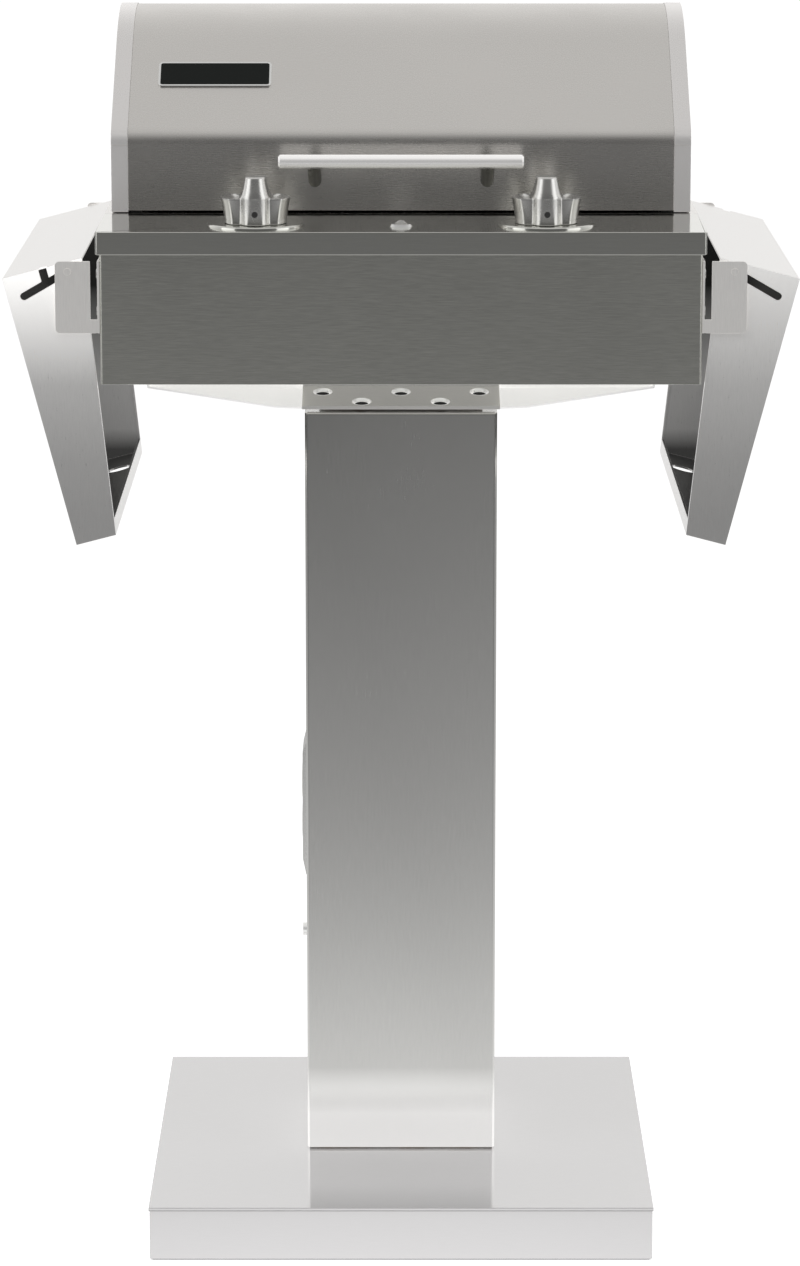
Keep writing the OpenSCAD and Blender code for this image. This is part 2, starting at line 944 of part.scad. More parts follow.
// A heating element: straight runs joined by half-round bends, both ends through the front wall
module element() {
    y0 = fire_y0 - element_tail;
    y_front = fire_y0 + element_front_in;
    y_back = fire_y1 - element_back_in;
    color(dark_steel)
        translate([0, 0, element_z]) {
            for (i = [0 : element_runs - 1]) {
                start = i == 0 || i == element_runs - 1 ? y0 : y_front;
                translate([element_x0 + i * element_pitch, start, 0])
                    rotate([-90, 0, 0])
                        cylinder(d = element_d, h = y_back - start);
            }
            for (i = [0 : element_runs - 2])
                translate([element_x0 + (i + 0.5) * element_pitch, i % 2 == 0 ? y_back : y_front, 0])
                    rotate([0, 0, i % 2 == 0 ? 0 : 180])
                        rotate_extrude(angle = 180)
                            translate([element_pitch / 2, 0])
                                circle(d = element_d);
        }
}

module left_element() {
    mirror([1, 0, 0])
        element();
}

module right_element() {
    element();
}

module control_unit(x) {
    color(dark_steel)
        translate([x, knob_y, body_top])
            difference() {
                union() {
                    block([-control_w / 2, control_w / 2], [-control_w / 2, control_w / 2],
                        [-control_h, 0]);
                    cylinder(d = control_neck_d, h = control_neck_h);
                }
                translate([0, 0, -shaft_in])
                    cylinder(d = shaft_bore, h = shaft_in + control_neck_h + over);
            }
}

module left_control() {
    control_unit(-knob_x);
}

module right_control() {
    control_unit(knob_x);
}

module knob_bezels() {
    color(bright_steel)
        both(knob_x)
            translate([0, knob_y, deck_z])
                difference() {
                    cylinder(d1 = bezel_d, d2 = bezel_top_d, h = bezel_t);
                    translate([0, 0, -over])
                        cylinder(d = control_neck_d + 2 * fit, h = bezel_t + 2 * over);
                }
}

module indicator_bezel() {
    color(bright_steel)
        translate([0, indicator_y, deck_z])
            difference() {
                cylinder(d1 = indicator_d, d2 = indicator_d - indicator_h, h = indicator_h);
                translate([0, 0, -over])
                    cylinder(d = lens_d + 2 * fit, h = indicator_h + 2 * over);
            }
}

module indicator_lens() {
    color(ivory)
        translate([0, indicator_y, deck_z]) {
            cylinder(d = lens_d, h = indicator_h);
            intersection() {
                translate([0, 0, indicator_h + lens_rise - lens_d / 2])
                    sphere(d = lens_d);
                cylinder(d = lens_d, h = indicator_h + lens_rise);
            }
            translate([0, 0, -lens_stem])
                cylinder(d = lens_stem_d, h = lens_stem);
        }
}

module tray_rails() {
    rail_x = tray_x + tray_slide_gap;
    color(dark_steel)
        for (side = [0, 1])
            mirror([side, 0, 0])
                block([rail_x, rail_x + rail_t], [tray_y0, body_y1 - sheet],
                    [body_z0 + sheet, body_z0 + sheet + rail_h]);
}

module hinge_barrel(x) {
    translate([x[0], hinge_y, hinge_z])
        rotate([0, 90, 0])
            difference() {
                cylinder(d = knuckle_d, h = x[1] - x[0]);
                translate([0, 0, -over])
                    cylinder(d = hinge_bore, h = x[1] - x[0] + 2 * over);
            }
}

module body_hinges() {
    color(steel)
        both(hinge_x) {
            for (x = [[-hinge_w / 2, -knuckle_w / 2], [knuckle_w / 2, hinge_w / 2]]) {
                hinge_barrel(x);
                block([x[0], x[1]], [hinge_y - knuckle_d / 2, hinge_y - hinge_pin_d / 2 - fit - leaf_t / 2],
                    [hinge_z - leaf_down / 2, hinge_z]);
            }
            block([-hinge_w / 2, hinge_w / 2], [band_y1, band_y1 + leaf_t],
                [hinge_z - leaf_down, hinge_z - knuckle_d / 2 - run_gap]);
        }
}

module hinge_pins() {
    color(bright_steel)
        both(hinge_x)
            translate([-hinge_w / 2, hinge_y, hinge_z])
                rotate([0, 90, 0])
                    cylinder(d = hinge_pin_d, h = hinge_w);
}

// Side bracket with its two face plates, drawn for the left side
module bracket_pair() {
    color(steel)
        for (turn = [false, true])
            translate([0, turn ? 2 * body_mid_y : 0, 0])
                mirror([0, turn ? 1 : 0, 0])
                    bracket();
}

module bracket() {
    difference() {
        union() {
            translate([0, bracket_y0 + bracket_t, 0])
                rotate([90, 0, 0])
                    linear_extrude(bracket_t)
                        soft_rect([-bracket_x, -body_x], [bracket_z0, bracket_z1], bracket_corner_r);
            block([-body_x - sheet, -body_x], [bracket_y0, bracket_y0 + bracket_flange],
                [bracket_z0, bracket_z1]);
        }
        block([-body_x - sheet - bracket_slot_w, -body_x - sheet],
            [bracket_y0 - over, bracket_y0 + bracket_t + over],
            [bracket_z0 + bracket_foot, bracket_z1 + over]);
        translate([-pin_x, bracket_y0 - over, pin_z])
            rotate([-90, 0, 0])
                cylinder(d = pin_d + 2 * fit, h = bracket_t + 2 * over);
        for (z = [bracket_z0 + bracket_screw_z, bracket_z1 - bracket_screw_z])
            translate([-body_x - sheet - over, bracket_y0 + bracket_flange - panel_margin, z])
                rotate([0, 90, 0])
                    cylinder(d = screw_d + 2 * fit, h = sheet + 2 * over);
    }
}

module left_brackets() {
    bracket_pair();
}

module right_brackets() {
    mirror([1, 0, 0])
        bracket_pair();
}

module bracket_screws() {
    color(bright_steel)
        bracket_screw_places() {
            translate([0, 0, -sheet])
                cylinder(d = screw_d, h = screw_reach);
            translate([0, 0, -sheet - screw_head_h])
                cylinder(d = screw_head_d, h = screw_head_h);
        }
}

module lid_shell() {
    color(steel)
        along_x([-lid_core_x, lid_core_x])
            difference() {
                polygon(lid_profile(band_step, lid_z0));
                polygon(lid_profile(band_step + sheet, lid_z0 - over));
            }
}

module lid_liner() {
    side_x = lid_x - sheet;
    color(dark_steel)
        along_x([-side_x, side_x])
            difference() {
                polygon(lid_profile(liner_in, lid_z0 + liner_lift));
                polygon(lid_profile(liner_in + thin_sheet, lid_z0 - over));
            }
}

// End of the lid, drawn for the left side: a side plate with a band folded over the edge
module lid_cap() {
    foot = deck_z + strip_gap;
    color(bright_steel) {
        along_x([-lid_x, sheet - lid_x])
            intersection() {
                polygon(lid_profile(0, foot));
                union() {
                    translate([lid_y0, bend_z])
                        square([lid_y1 - lid_y0, lid_h]);
                    translate([lid_y0 + strip_step, foot])
                        square([lid_y1 - lid_y0 - strip_step, lid_h]);
                }
            }
        along_x([-lid_x, -lid_core_x])
            difference() {
                polygon(lid_profile(0, bend_z));
                polygon(lid_profile(sheet, bend_z - over));
            }
        block([-lid_x, -lid_core_x], [lid_y0 + strip_step, lid_y0 + strip_step + sheet], [foot, bend_z]);
        block([-lid_x, -lid_core_x], [lid_y1 - sheet, lid_y1], [lid_z0, crown_back_z]);
    }
}

module left_lid_cap() {
    lid_cap();
}

module right_lid_cap() {
    mirror([1, 0, 0])
        lid_cap();
}

module lid_hinges() {
    half = knuckle_w / 2 - knuckle_gap;
    arm_z = hinge_z + knuckle_d / 2 - leaf_t;
    color(steel)
        both(hinge_x) {
            hinge_barrel([-half, half]);
            block([-half, half], [lid_y1, hinge_y], [hinge_z + hinge_pin_d / 2 + fit, arm_z + leaf_t]);
            block([-half, half], [lid_y1 - band_step, lid_y1 + leaf_t],
                [hinge_z + hinge_pin_d / 2 + fit, hinge_z + hinge_rise]);
            block([-hinge_w / 2, hinge_w / 2], [lid_y1 - band_step, lid_y1 + leaf_t - band_step],
                [hinge_z + hinge_rise, hinge_z + leaf_up]);
        }
}

module lid_handle() {
    core = handle_len / 2 - handle_chamfer;
    color(bright_steel)
        translate([0, handle_y, handle_z])
            rotate([0, 90, 0]) {
                translate([0, 0, -core])
                    cylinder(d = handle_d, h = 2 * core);
                for (end = [0, 1])
                    mirror([0, 0, end])
                        translate([0, 0, core])
                            cylinder(d1 = handle_d, d2 = handle_d - 2 * handle_chamfer, h = handle_chamfer);
            }
}

// Post axis: from the bar down and back to the lid's front face
module post_frame() {
    both(post_x)
        translate([0, handle_y, handle_z])
            rotate([-90 - post_angle, 0, 0])
                children();
}

module handle_posts() {
    reach = post_run / cos(post_angle) + post_d;
    color(steel)
        difference() {
            post_frame()
                cylinder(d = post_d, h = reach);
            translate([-handle_len / 2 - over, handle_y, handle_z])
                rotate([0, 90, 0])
                    cylinder(d = handle_d, h = handle_len + 2 * over);
            block([-handle_len, handle_len], [lid_y0 + band_step, lid_y1], [deck_z, lid_top]);
        }
}

module handle_screws() {
    face_y = lid_y0 + band_step + sheet;
    color(bright_steel)
        both(post_x)
            translate([0, face_y, handle_z - post_fall])
                rotate([-90, 0, 0])
                    cylinder(d = post_screw_head_d, h = post_screw_head_h);
}

// Place on the lid's slope, with its Y up the slope and its Z out of it
module on_lid_slope() {
    start_y = bend_y + (front_bend_r - band_step) * slope_ny;
    start_z = bend_z + (front_bend_r - band_step) * slope_nz;
    translate([name_mid_x, start_y + name_up * cos(lid_slope), start_z + name_up * sin(lid_slope)])
        rotate([lid_slope, 0, 0])
            children();
}

module name_plate() {
    color(bright_steel)
        on_lid_slope()
            difference() {
                linear_extrude(name_t)
                    soft_rect([-name_w / 2, name_w / 2], [-name_l / 2, name_l / 2], name_r);
                translate([0, 0, name_t - name_field_t])
                    linear_extrude(name_field_t + over)
                        name_inside();
            }
}

module name_inside() {
    half_w = name_w / 2 - name_rim;
    half_l = name_l / 2 - name_rim;
    soft_rect([-half_w, half_w], [-half_l, half_l], name_r - name_rim);
}

module name_field() {
    color(black)
        on_lid_slope()
            translate([0, 0, name_t - name_field_t])
                linear_extrude(name_field_t - name_field_dip)
                    name_inside();
}

// A knob: a flared and fluted skirt with a tapered grip across it
module knob(x) {
    color(bright_steel)
        translate([x, knob_y, knob_z0]) {
            knob_grip();
            knob_skirt();
        }
}

module knob_grip() {
    along_y([-grip_end_y, grip_end_y])
        polygon([
            [-grip_foot_w / 2, grip_foot_z],
            [grip_foot_w / 2, grip_foot_z],
            [grip_w / 2, knob_h],
            [-grip_w / 2, knob_h]
        ]);
    for (y = [-grip_end_y, grip_end_y])
        translate([0, y, grip_foot_z])
            cylinder(d1 = grip_foot_w, d2 = grip_w, h = knob_h - grip_foot_z);
}

module knob_skirt() {
    difference() {
        union() {
            cylinder(d = knob_d, h = skirt_foot_h);
            translate([0, 0, skirt_foot_h])
                cylinder(d1 = knob_d, d2 = skirt_top_d, h = skirt_h - skirt_foot_h);
            intersection() {
                cylinder(d = knob_d, h = hub_h);
                block([-hub_w / 2, hub_w / 2], [-knob_d / 2, knob_d / 2], [skirt_foot_h, hub_h]);
            }
        }
        both(shoulder_x)
            translate([0, knob_d, skirt_h + shoulder_rise])
                rotate([90, 0, 0])
                    cylinder(r = shoulder_r, h = 2 * knob_d);
        for (turn = [-flute_turn, flute_turn, 180 - flute_turn, 180 + flute_turn])
            rotate([0, 0, turn])
                translate([0, -skirt_top_d / 2 - flute_out, -over])
                    cylinder(d = flute_d, h = hub_h + 2 * over);
        translate([0, 0, -over])
            cylinder(d = shaft_d, h = shaft_up + over);
        translate([0, -skirt_top_d / 2 - over, pointer_z])
            rotate([-90, 0, 0])
                cylinder(d = pointer_d, h = (skirt_top_d - knob_d) / 2 + pointer_deep + over);
    }
}

module shaft(x) {
    shaft_z0 = body_top - shaft_in + run_gap;
    color(steel)
        translate([x, knob_y, shaft_z0])
            cylinder(d = shaft_d, h = knob_z0 + shaft_up - shaft_z0);
}

module left_knob() {
    knob(-knob_x);
}

module left_shaft() {
    shaft(-knob_x);
}

module right_knob() {
    knob(knob_x);
}

module right_shaft() {
    shaft(knob_x);
}

// A cooking grate between two places along X
module grate(x0, x1) {
    y0 = fire_y0 + thin_sheet + grate_edge_gap;
    y1 = fire_y1 - thin_sheet - grate_edge_gap;
    rod_z = grate_z + slip + bar_d / 2;
    color(dark_steel)
        translate([0, 0, rod_z]) {
            for (i = [0 : grate_rods - 1])
                translate([x0 + bar_d + i * (x1 - x0 - 2 * bar_d) / (grate_rods - 1), y0 + bar_d / 2, 0])
                    rotate([-90, 0, 0])
                        cylinder(d = rod_d, h = y1 - y0 - bar_d);
            for (y = [y0 + bar_d / 2, (y0 + y1) / 2, y1 - bar_d / 2])
                translate([x0, y, 0])
                    rotate([0, 90, 0])
                        cylinder(d = bar_d, h = x1 - x0);
        }
}

grate_out = fire_x - thin_sheet - grate_edge_gap;

module left_grate() {
    grate(-grate_out, -grate_gap / 2);
}

module right_grate() {
    grate(grate_gap / 2, grate_out);
}

module grease_tray() {
    tray_z0 = body_z0 + sheet + tray_slide_gap;
    color(steel) {
        difference() {
            block([-tray_x, tray_x], [tray_y0 + run_gap, body_y1 + slip], [tray_z0, tray_z0 + tray_h]);
            block([thin_sheet - tray_x, tray_x - thin_sheet],
                [tray_y0 + run_gap + thin_sheet, body_y1 - sheet],
                [tray_z0 + thin_sheet, tray_z0 + tray_h + over]);
        }
        block([-tray_face_x, tray_face_x], [body_y1 + slip, body_y1 + slip + thin_sheet],
            [body_z0, body_z0 + tray_face_h]);
        block([-tray_x, tray_x], [body_y1 + slip, body_y1 + slip + tray_pull],
            [body_z0 + tray_face_h - thin_sheet, body_z0 + tray_face_h]);
    }
}

// Headed pivot pin of a shelf, drawn for the left front bracket
module pivot_pin() {
    flange_back = shelf_y0 + sheet + run_gap;
    color(bright_steel)
        translate([-pin_x, 0, pin_z]) {
            translate([0, bracket_y0 - pin_proud, 0])
                rotate([-90, 0, 0])
                    cylinder(d = pin_d, h = flange_back - bracket_y0 + pin_proud);
            translate([0, flange_back, 0])
                rotate([-90, 0, 0])
                    cylinder(d = pin_head_d, h = pin_head_t);
        }
}

module left_pins() {
    pivot_pin();
    translate([0, 2 * body_mid_y, 0])
        mirror([0, 1, 0])
            pivot_pin();
}

module right_pins() {
    mirror([1, 0, 0])
        left_pins();
}

// Outline of a shelf's side flange, level, with the pin at the origin and the grill to the right
module shelf_side() {
    polygon([
        [pin_in, -pin_up],
        [pin_in, shelf_deep - pin_up],
        [pin_in - shelf_len, shelf_deep - pin_up],
        [pin_in - shelf_len, shelf_deep - shelf_shallow - pin_up]
    ]);
}

module shelf_slot() {
    rotate([0, 0, slot_tilt]) {
        translate([-slot_w / 2, 0])
            square([slot_w, shelf_drop]);
        circle(d = slot_w);
        translate([0, shelf_drop])
            circle(d = slot_w);
    }
}

// A profile drawn in X and Z, carried from y[0] to y[1]
module along_y(y) {
    translate([0, y[1], 0])
        rotate([90, 0, 0])
            linear_extrude(y[1] - y[0])
                children();
}

module shelf_hollow() {
    polygon([
        [pin_in - sheet, -pin_up - shelf_shallow],
        [pin_in - sheet, shelf_deep - pin_up - sheet],
        [pin_in - shelf_len + sheet + shelf_end_lip, shelf_deep - pin_up - sheet],
        [pin_in - shelf_len + sheet + shelf_end_lip, -pin_up - shelf_shallow]
    ]);
}

// The open edge inside the small lip that runs along each side flange
module shelf_lip_hollow() {
    slope = (shelf_deep - shelf_shallow) / shelf_len;
    near_z = -pin_up + sheet * (1 + slope);
    far_z = near_z + shelf_len * slope;
    polygon([
        [pin_in - sheet, near_z],
        [pin_in - sheet, shelf_deep - pin_up - sheet],
        [pin_in - shelf_len + sheet, shelf_deep - pin_up - sheet],
        [pin_in - shelf_len + sheet, far_z]
    ]);
}

// A shelf pan, level, with its pin line at the origin; the flange at y[0] has the entry notch
module level_shelf(y) {
    color(steel)
        difference() {
            along_y(y)
                shelf_side();
            along_y([y[0] + sheet, y[1] - sheet])
                shelf_lip_hollow();
            along_y([y[0] + sheet + shelf_lip, y[1] - sheet - shelf_lip])
                shelf_hollow();
            for (flange = [[y[0] - over, y[0] + sheet + over], [y[1] - sheet - over, y[1] + over]])
                along_y(flange)
                    shelf_slot();
            block([0, pin_in + over], [y[0] - over, y[0] + sheet + over],
                [notch_up - pin_up - notch_w / 2, notch_up - pin_up + notch_w / 2]);
            block([-(notch_up - pin_up) * tan(slot_tilt), over], [y[0] - over, y[0] + sheet + over],
                [notch_up - pin_up - notch_w / 2, notch_up - pin_up + notch_w / 2]);
            block([pin_in - sheet - over, pin_in + over], [y[0] - over, y[0] + sheet + notch_deep],
                [notch_up - pin_up - notch_w / 2, notch_up - pin_up + notch_w / 2]);
            for (place = [y[0] + hang_slot_in, y[1] - hang_slot_in])
                translate([pin_in - shelf_len - over, place, shelf_deep - pin_up - shelf_shallow / 2])
                    rotate([0, 90, 0])
                        linear_extrude(sheet + 2 * over)
                            hang_slot();
        }
}

module hang_slot() {
    straight = hang_slot_l - hang_slot_w;
    translate([-hang_slot_w / 2, -straight / 2])
        square([hang_slot_w, straight]);
    for (end = [-1, 1])
        translate([0, end * straight / 2])
            circle(d = hang_slot_w);
}

module left_shelf() {
    translate([-pin_x, 0, pin_z])
        rotate([0, -shelf_fold, 0])
            level_shelf([shelf_y0, shelf_y1]);
}

// The same pan turned half round, so its entry notch is at the back
module right_shelf() {
    turned_about(shelf_mid_y)
        left_shelf();
}

base_pad();
base_ballast();
base_cover();
column_foot();
foot_bolts();
column_shell();
rear_panel();
rear_panel_screws();
outlet_box();
receptacle();
outlet_plate();
supply_gland();
conduit();
head_riser();
riser_bolts();
left_wing();
right_wing();
neck_cover();
body_bottom();
body_shell();
top_frame();
control_panel();
firebox();
grate_rails();
element_support();
left_element();
right_element();
left_control();
right_control();
knob_bezels();
indicator_bezel();
indicator_lens();
tray_rails();
body_hinges();
hinge_pins();
left_brackets();
right_brackets();
bracket_screws();
lid_shell();
lid_liner();
left_lid_cap();
right_lid_cap();
lid_hinges();
lid_handle();
handle_posts();
handle_screws();
name_plate();
name_field();
left_knob();
left_shaft();
right_knob();
right_shaft();
left_grate();
right_grate();
grease_tray();
left_pins();
right_pins();
left_shelf();
right_shelf();
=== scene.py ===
import json
import math

import bmesh
import bpy
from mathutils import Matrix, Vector

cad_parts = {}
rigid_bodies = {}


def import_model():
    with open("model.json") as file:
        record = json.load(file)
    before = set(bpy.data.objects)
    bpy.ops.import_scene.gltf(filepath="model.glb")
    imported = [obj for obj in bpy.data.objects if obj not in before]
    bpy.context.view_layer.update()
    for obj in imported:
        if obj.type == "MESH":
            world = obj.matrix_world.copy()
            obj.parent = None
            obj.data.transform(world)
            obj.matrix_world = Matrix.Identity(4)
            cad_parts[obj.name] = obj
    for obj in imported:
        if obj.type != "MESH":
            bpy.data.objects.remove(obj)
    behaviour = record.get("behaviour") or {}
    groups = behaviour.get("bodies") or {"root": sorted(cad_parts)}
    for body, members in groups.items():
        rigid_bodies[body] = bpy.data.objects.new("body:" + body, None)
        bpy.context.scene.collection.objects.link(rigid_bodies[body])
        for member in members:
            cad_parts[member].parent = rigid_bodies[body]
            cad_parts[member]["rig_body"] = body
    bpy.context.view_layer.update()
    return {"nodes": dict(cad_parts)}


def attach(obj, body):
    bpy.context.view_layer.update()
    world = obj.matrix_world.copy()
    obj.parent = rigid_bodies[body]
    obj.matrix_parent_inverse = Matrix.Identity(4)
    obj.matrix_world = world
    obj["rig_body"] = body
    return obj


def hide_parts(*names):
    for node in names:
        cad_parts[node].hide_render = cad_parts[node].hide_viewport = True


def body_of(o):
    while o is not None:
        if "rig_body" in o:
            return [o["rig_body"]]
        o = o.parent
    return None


X_AXIS = (1.0, 0.0, 0.0)
Y_AXIS = (0.0, 1.0, 0.0)
Z_AXIS = (0.0, 0.0, 1.0)
MM = 0.001
ROUND_SIDES = 24

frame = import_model()
nodes = frame["nodes"]

# ---- node helpers ----
NOISE_SPAN = (0.3, 0.7)
SPARE_DIRECTION = (0.008, 0.011, 0.015)


def new_material(name):
    material = bpy.data.materials.new(name)
    material.use_nodes = True
    tree = material.node_tree
    return material, tree, tree.nodes["Principled BSDF"]


def feed(tree, socket, value):
    """Link a socket to another one, or set it to a plain value."""
    if isinstance(value, bpy.types.NodeSocket):
        tree.links.new(value, socket)
    else:
        socket.default_value = value


def math_node(tree, operation, first, second=None):
    made = tree.nodes.new("ShaderNodeMath")
    made.operation = operation
    for socket, value in zip(made.inputs, (first, second)):
        if value is not None:
            feed(tree, socket, value)
    return made.outputs[0]


def split(tree, vector):
    """The X, Y and Z sockets of a vector."""
    parts = tree.nodes.new("ShaderNodeSeparateXYZ")
    tree.links.new(vector, parts.inputs[0])
    return parts.outputs


def noise(tree, scale, stretch=(1.0, 1.0, 1.0), detail=4.0, roughness=0.6):
    """Noise over the CAD frame's metres, stretched along the axes; returns its value socket."""
    coords = tree.nodes.new("ShaderNodeTexCoord")
    mapping = tree.nodes.new("ShaderNodeMapping")
    mapping.inputs["Scale"].default_value = stretch
    texture = tree.nodes.new("ShaderNodeTexNoise")
    texture.inputs["Scale"].default_value = scale
    texture.inputs["Detail"].default_value = detail
    texture.inputs["Roughness"].default_value = roughness
    tree.links.new(coords.outputs["Object"], mapping.inputs["Vector"])
    tree.links.new(mapping.outputs[0], texture.inputs["Vector"])
    return texture.outputs["Fac"]


def map_range(tree, value, source, target):
    made = tree.nodes.new("ShaderNodeMapRange")
    made.inputs["From Min"].default_value, made.inputs["From Max"].default_value = source
    made.inputs["To Min"].default_value, made.inputs["To Max"].default_value = target
    tree.links.new(value, made.inputs["Value"])
    return made.outputs["Result"]


def spread(tree, grain, low, high):
    """A noise's usual span laid over another range."""
    return map_range(tree, grain, NOISE_SPAN, (low, high))


def mix_colours(tree, factor, first, second, blend="MIX"):
    made = tree.nodes.new("ShaderNodeMix")
    made.data_type = "RGBA"
    made.blend_type = blend
    feed(tree, made.inputs["Factor"], factor)
    for name, colour in (("A", first), ("B", second)):
        feed(tree, made.inputs[name], (*colour, 1.0) if isinstance(colour, tuple) else colour)
    return made.outputs["Result"]


def set_stops(ramp, stops, tint=(1.0, 1.0, 1.0)):
    """Levels of one tint at their places along a colour ramp."""
    elements = ramp.color_ramp.elements
    while len(elements) < len(stops):
        elements.new(0.5)
    for element, (place, level) in zip(elements, stops):
        element.position = place
        element.color = (*(level * share for share in tint), 1.0)


def scaled(colour, share):
    return tuple(min(1.0, c * share) for c in colour)


def shares(value, parts):
    return [value * part for part in parts]


def across_grain(tree, grain):
    """Direction across the brushing, in the plane of each face: highlights stretch along it."""
    local = tree.nodes.new("ShaderNodeCombineXYZ")
    for socket, value in zip(local.inputs, grain):
        socket.default_value = value
    turned_grain = tree.nodes.new("ShaderNodeVectorTransform")
    turned_grain.vector_type = "VECTOR"
    turned_grain.convert_from, turned_grain.convert_to = "OBJECT", "WORLD"
    tree.links.new(local.outputs[0], turned_grain.inputs[0])
    geometry = tree.nodes.new("ShaderNodeNewGeometry")
    cross = tree.nodes.new("ShaderNodeVectorMath")
    cross.operation = "CROSS_PRODUCT"
    tree.links.new(geometry.outputs["Normal"], cross.inputs[0])
    tree.links.new(turned_grain.outputs[0], cross.inputs[1])
    spare = tree.nodes.new("ShaderNodeVectorMath")
    spare.operation = "ADD"
    spare.inputs[1].default_value = SPARE_DIRECTION
    tree.links.new(cross.outputs[0], spare.inputs[0])
    return spare.outputs[0]


def bump(tree, shader, height, strength, distance):
    made = tree.nodes.new("ShaderNodeBump")
    made.inputs["Strength"].default_value = strength
    made.inputs["Distance"].default_value = distance
    tree.links.new(height, made.inputs["Height"])
    tree.links.new(made.outputs["Normal"], shader.inputs["Normal"])


def coat(tree, shader, colour, roughness):
    tree.links.new(colour, shader.inputs["Base Color"])
    tree.links.new(roughness, shader.inputs["Roughness"])


def emit(tree, shader, colour, strength):
    feed(tree, shader.inputs["Emission Color"], colour)
    feed(tree, shader.inputs["Emission Strength"], strength)


def camera_pick(tree, others, camera_sees, out):
    """One shader to the camera and another to every other ray."""
    light = tree.nodes.new("ShaderNodeLightPath")
    pick = tree.nodes.new("ShaderNodeMixShader")
    tree.links.new(light.outputs["Is Camera Ray"], pick.inputs[0])
    tree.links.new(others, pick.inputs[1])
    tree.links.new(camera_sees, pick.inputs[2])
    tree.links.new(pick.outputs[0], out.inputs["Surface"])


# ---- metals and plastics ----
GRAIN_CROSS = 1300.0
GRAIN_ALONG = 60.0
STREAK_DETAIL = 5.0
STREAK_ROUGHNESS = 0.7
GRAIN_DETAIL = 6.0
PATCH_DETAIL = 3.0
SMUDGE_SCALE = 7.0
PATCH_SCALE = SMUDGE_SCALE * 3.0
SMUDGE_ROUGHNESS = (-0.03, 0.04)
GRAIN_ROUGHNESS = (-0.015, 0.015)
BRUSHED_SPREAD = (0.85, 1.15)
CAST_SPREAD = (0.8, 1.25)
BRUSHED_BUMP = 0.3
CAST_BUMP, CAST_DEPTH = 0.2, 0.00005
SOLID_BUMP = 0.5
STAIN_SCALE, STAIN_SPAN, STAIN_TINT = 14.0, (0.45, 0.75), (0.30, 0.22, 0.14)
STAIN_ROUGHNESS = 0.2
PITS_SCALE, PITS_BUMP, PITS_DEPTH = 260.0, 0.25, 0.0001
DUST_SCALE, DUST_BUMP, DUST_DEPTH = 500.0, 0.1, 0.00002
DUST_DARK, DUST_PALE, DUST_ROUGHNESS = (0.86, 0.84, 0.80), (0.95, 0.94, 0.92), (0.06, 0.14)
LENS_CLEAR = 0.6
FOOT_LIGHT = (1.0, 0.99, 0.985, 1.0)
SIDE_LIGHT = (1.0, 0.985, 0.975, 1.0)


def brushed(name, tint, rough, grain, stretch_share=0.5, depth=0.00008, contrast=0.08, metallic=1.0,
            glow=0.0):
    """Sheet steel brushed along grain: fine streaks in colour, roughness and height, and soft smudges."""
    material, tree, shader = new_material(name)
    stretch = tuple(GRAIN_ALONG if g else GRAIN_CROSS for g in grain)
    streaks = noise(tree, 1.0, stretch, STREAK_DETAIL, STREAK_ROUGHNESS)
    smudge = noise(tree, SMUDGE_SCALE, detail=PATCH_DETAIL)
    colour = mix_colours(tree, spread(tree, streaks, 0.0, 1.0),
                         scaled(tint, 1.0 - contrast), scaled(tint, 1.0 + contrast))
    coat(tree, shader, colour, math_node(tree, "ADD", spread(tree, streaks, *shares(rough, BRUSHED_SPREAD)),
                                         spread(tree, smudge, *SMUDGE_ROUGHNESS)))
    shader.inputs["Metallic"].default_value = metallic
    shader.inputs["Anisotropic"].default_value = stretch_share
    tree.links.new(across_grain(tree, grain), shader.inputs["Tangent"])
    # Painted glow: the sheet gives out its own colour as light.
    if glow:
        emit(tree, shader, colour, glow)
    bump(tree, shader, streaks, BRUSHED_BUMP, depth)
    return material


def glow_at_foot(material, heights, strengths):
    """Light that the pale base throws up a sheet's foot, fading between two heights."""
    tree = material.node_tree
    height = split(tree, tree.nodes.new("ShaderNodeTexCoord").outputs["Object"])["Z"]
    emit(tree, tree.nodes["Principled BSDF"], FOOT_LIGHT, map_range(tree, height, heights, strengths))


def glow_facing(material, axis, facing, strengths):
    """Soft light on the faces that look one way, fading as they turn from it."""
    tree = material.node_tree
    share = split(tree, tree.nodes.new("ShaderNodeNewGeometry").outputs["Normal"])[axis]
    emit(tree, tree.nodes["Principled BSDF"], SIDE_LIGHT, map_range(tree, share, facing, strengths))


def plain_metal(name, tint, rough, scale, contrast=0.06, glow=0.0):
    """Cast, turned or pickled metal: even grain with soft patches."""
    material, tree, shader = new_material(name)
    grain = noise(tree, scale, detail=GRAIN_DETAIL)
    patches = noise(tree, PATCH_SCALE, detail=PATCH_DETAIL)
    colour = mix_colours(tree, patches, scaled(tint, 1.0 - contrast), scaled(tint, 1.0 + contrast))
    coat(tree, shader, colour, math_node(tree, "ADD", spread(tree, patches, *shares(rough, CAST_SPREAD)),
                                         spread(tree, grain, *GRAIN_ROUGHNESS)))
    shader.inputs["Metallic"].default_value = 1.0
    # Painted glow: the metal gives out its own colour as light.
    if glow:
        emit(tree, shader, colour, glow)
    bump(tree, shader, grain, CAST_BUMP, CAST_DEPTH)
    return material


def solid(name, tint, rough, scale, depth, contrast=0.08, specular=0.5):
    """Plastic, rubber, enamel or iron: a mottled colour with its own grain."""
    material, tree, shader = new_material(name)
    grain = noise(tree, scale, detail=GRAIN_DETAIL)
    colour = mix_colours(tree, grain, scaled(tint, 1.0 - contrast), scaled(tint, 1.0 + contrast))
    coat(tree, shader, colour, spread(tree, grain, *shares(rough, BRUSHED_SPREAD)))
    shader.inputs["Specular IOR Level"].default_value = specular
    bump(tree, shader, grain, SOLID_BUMP, depth)
    return material


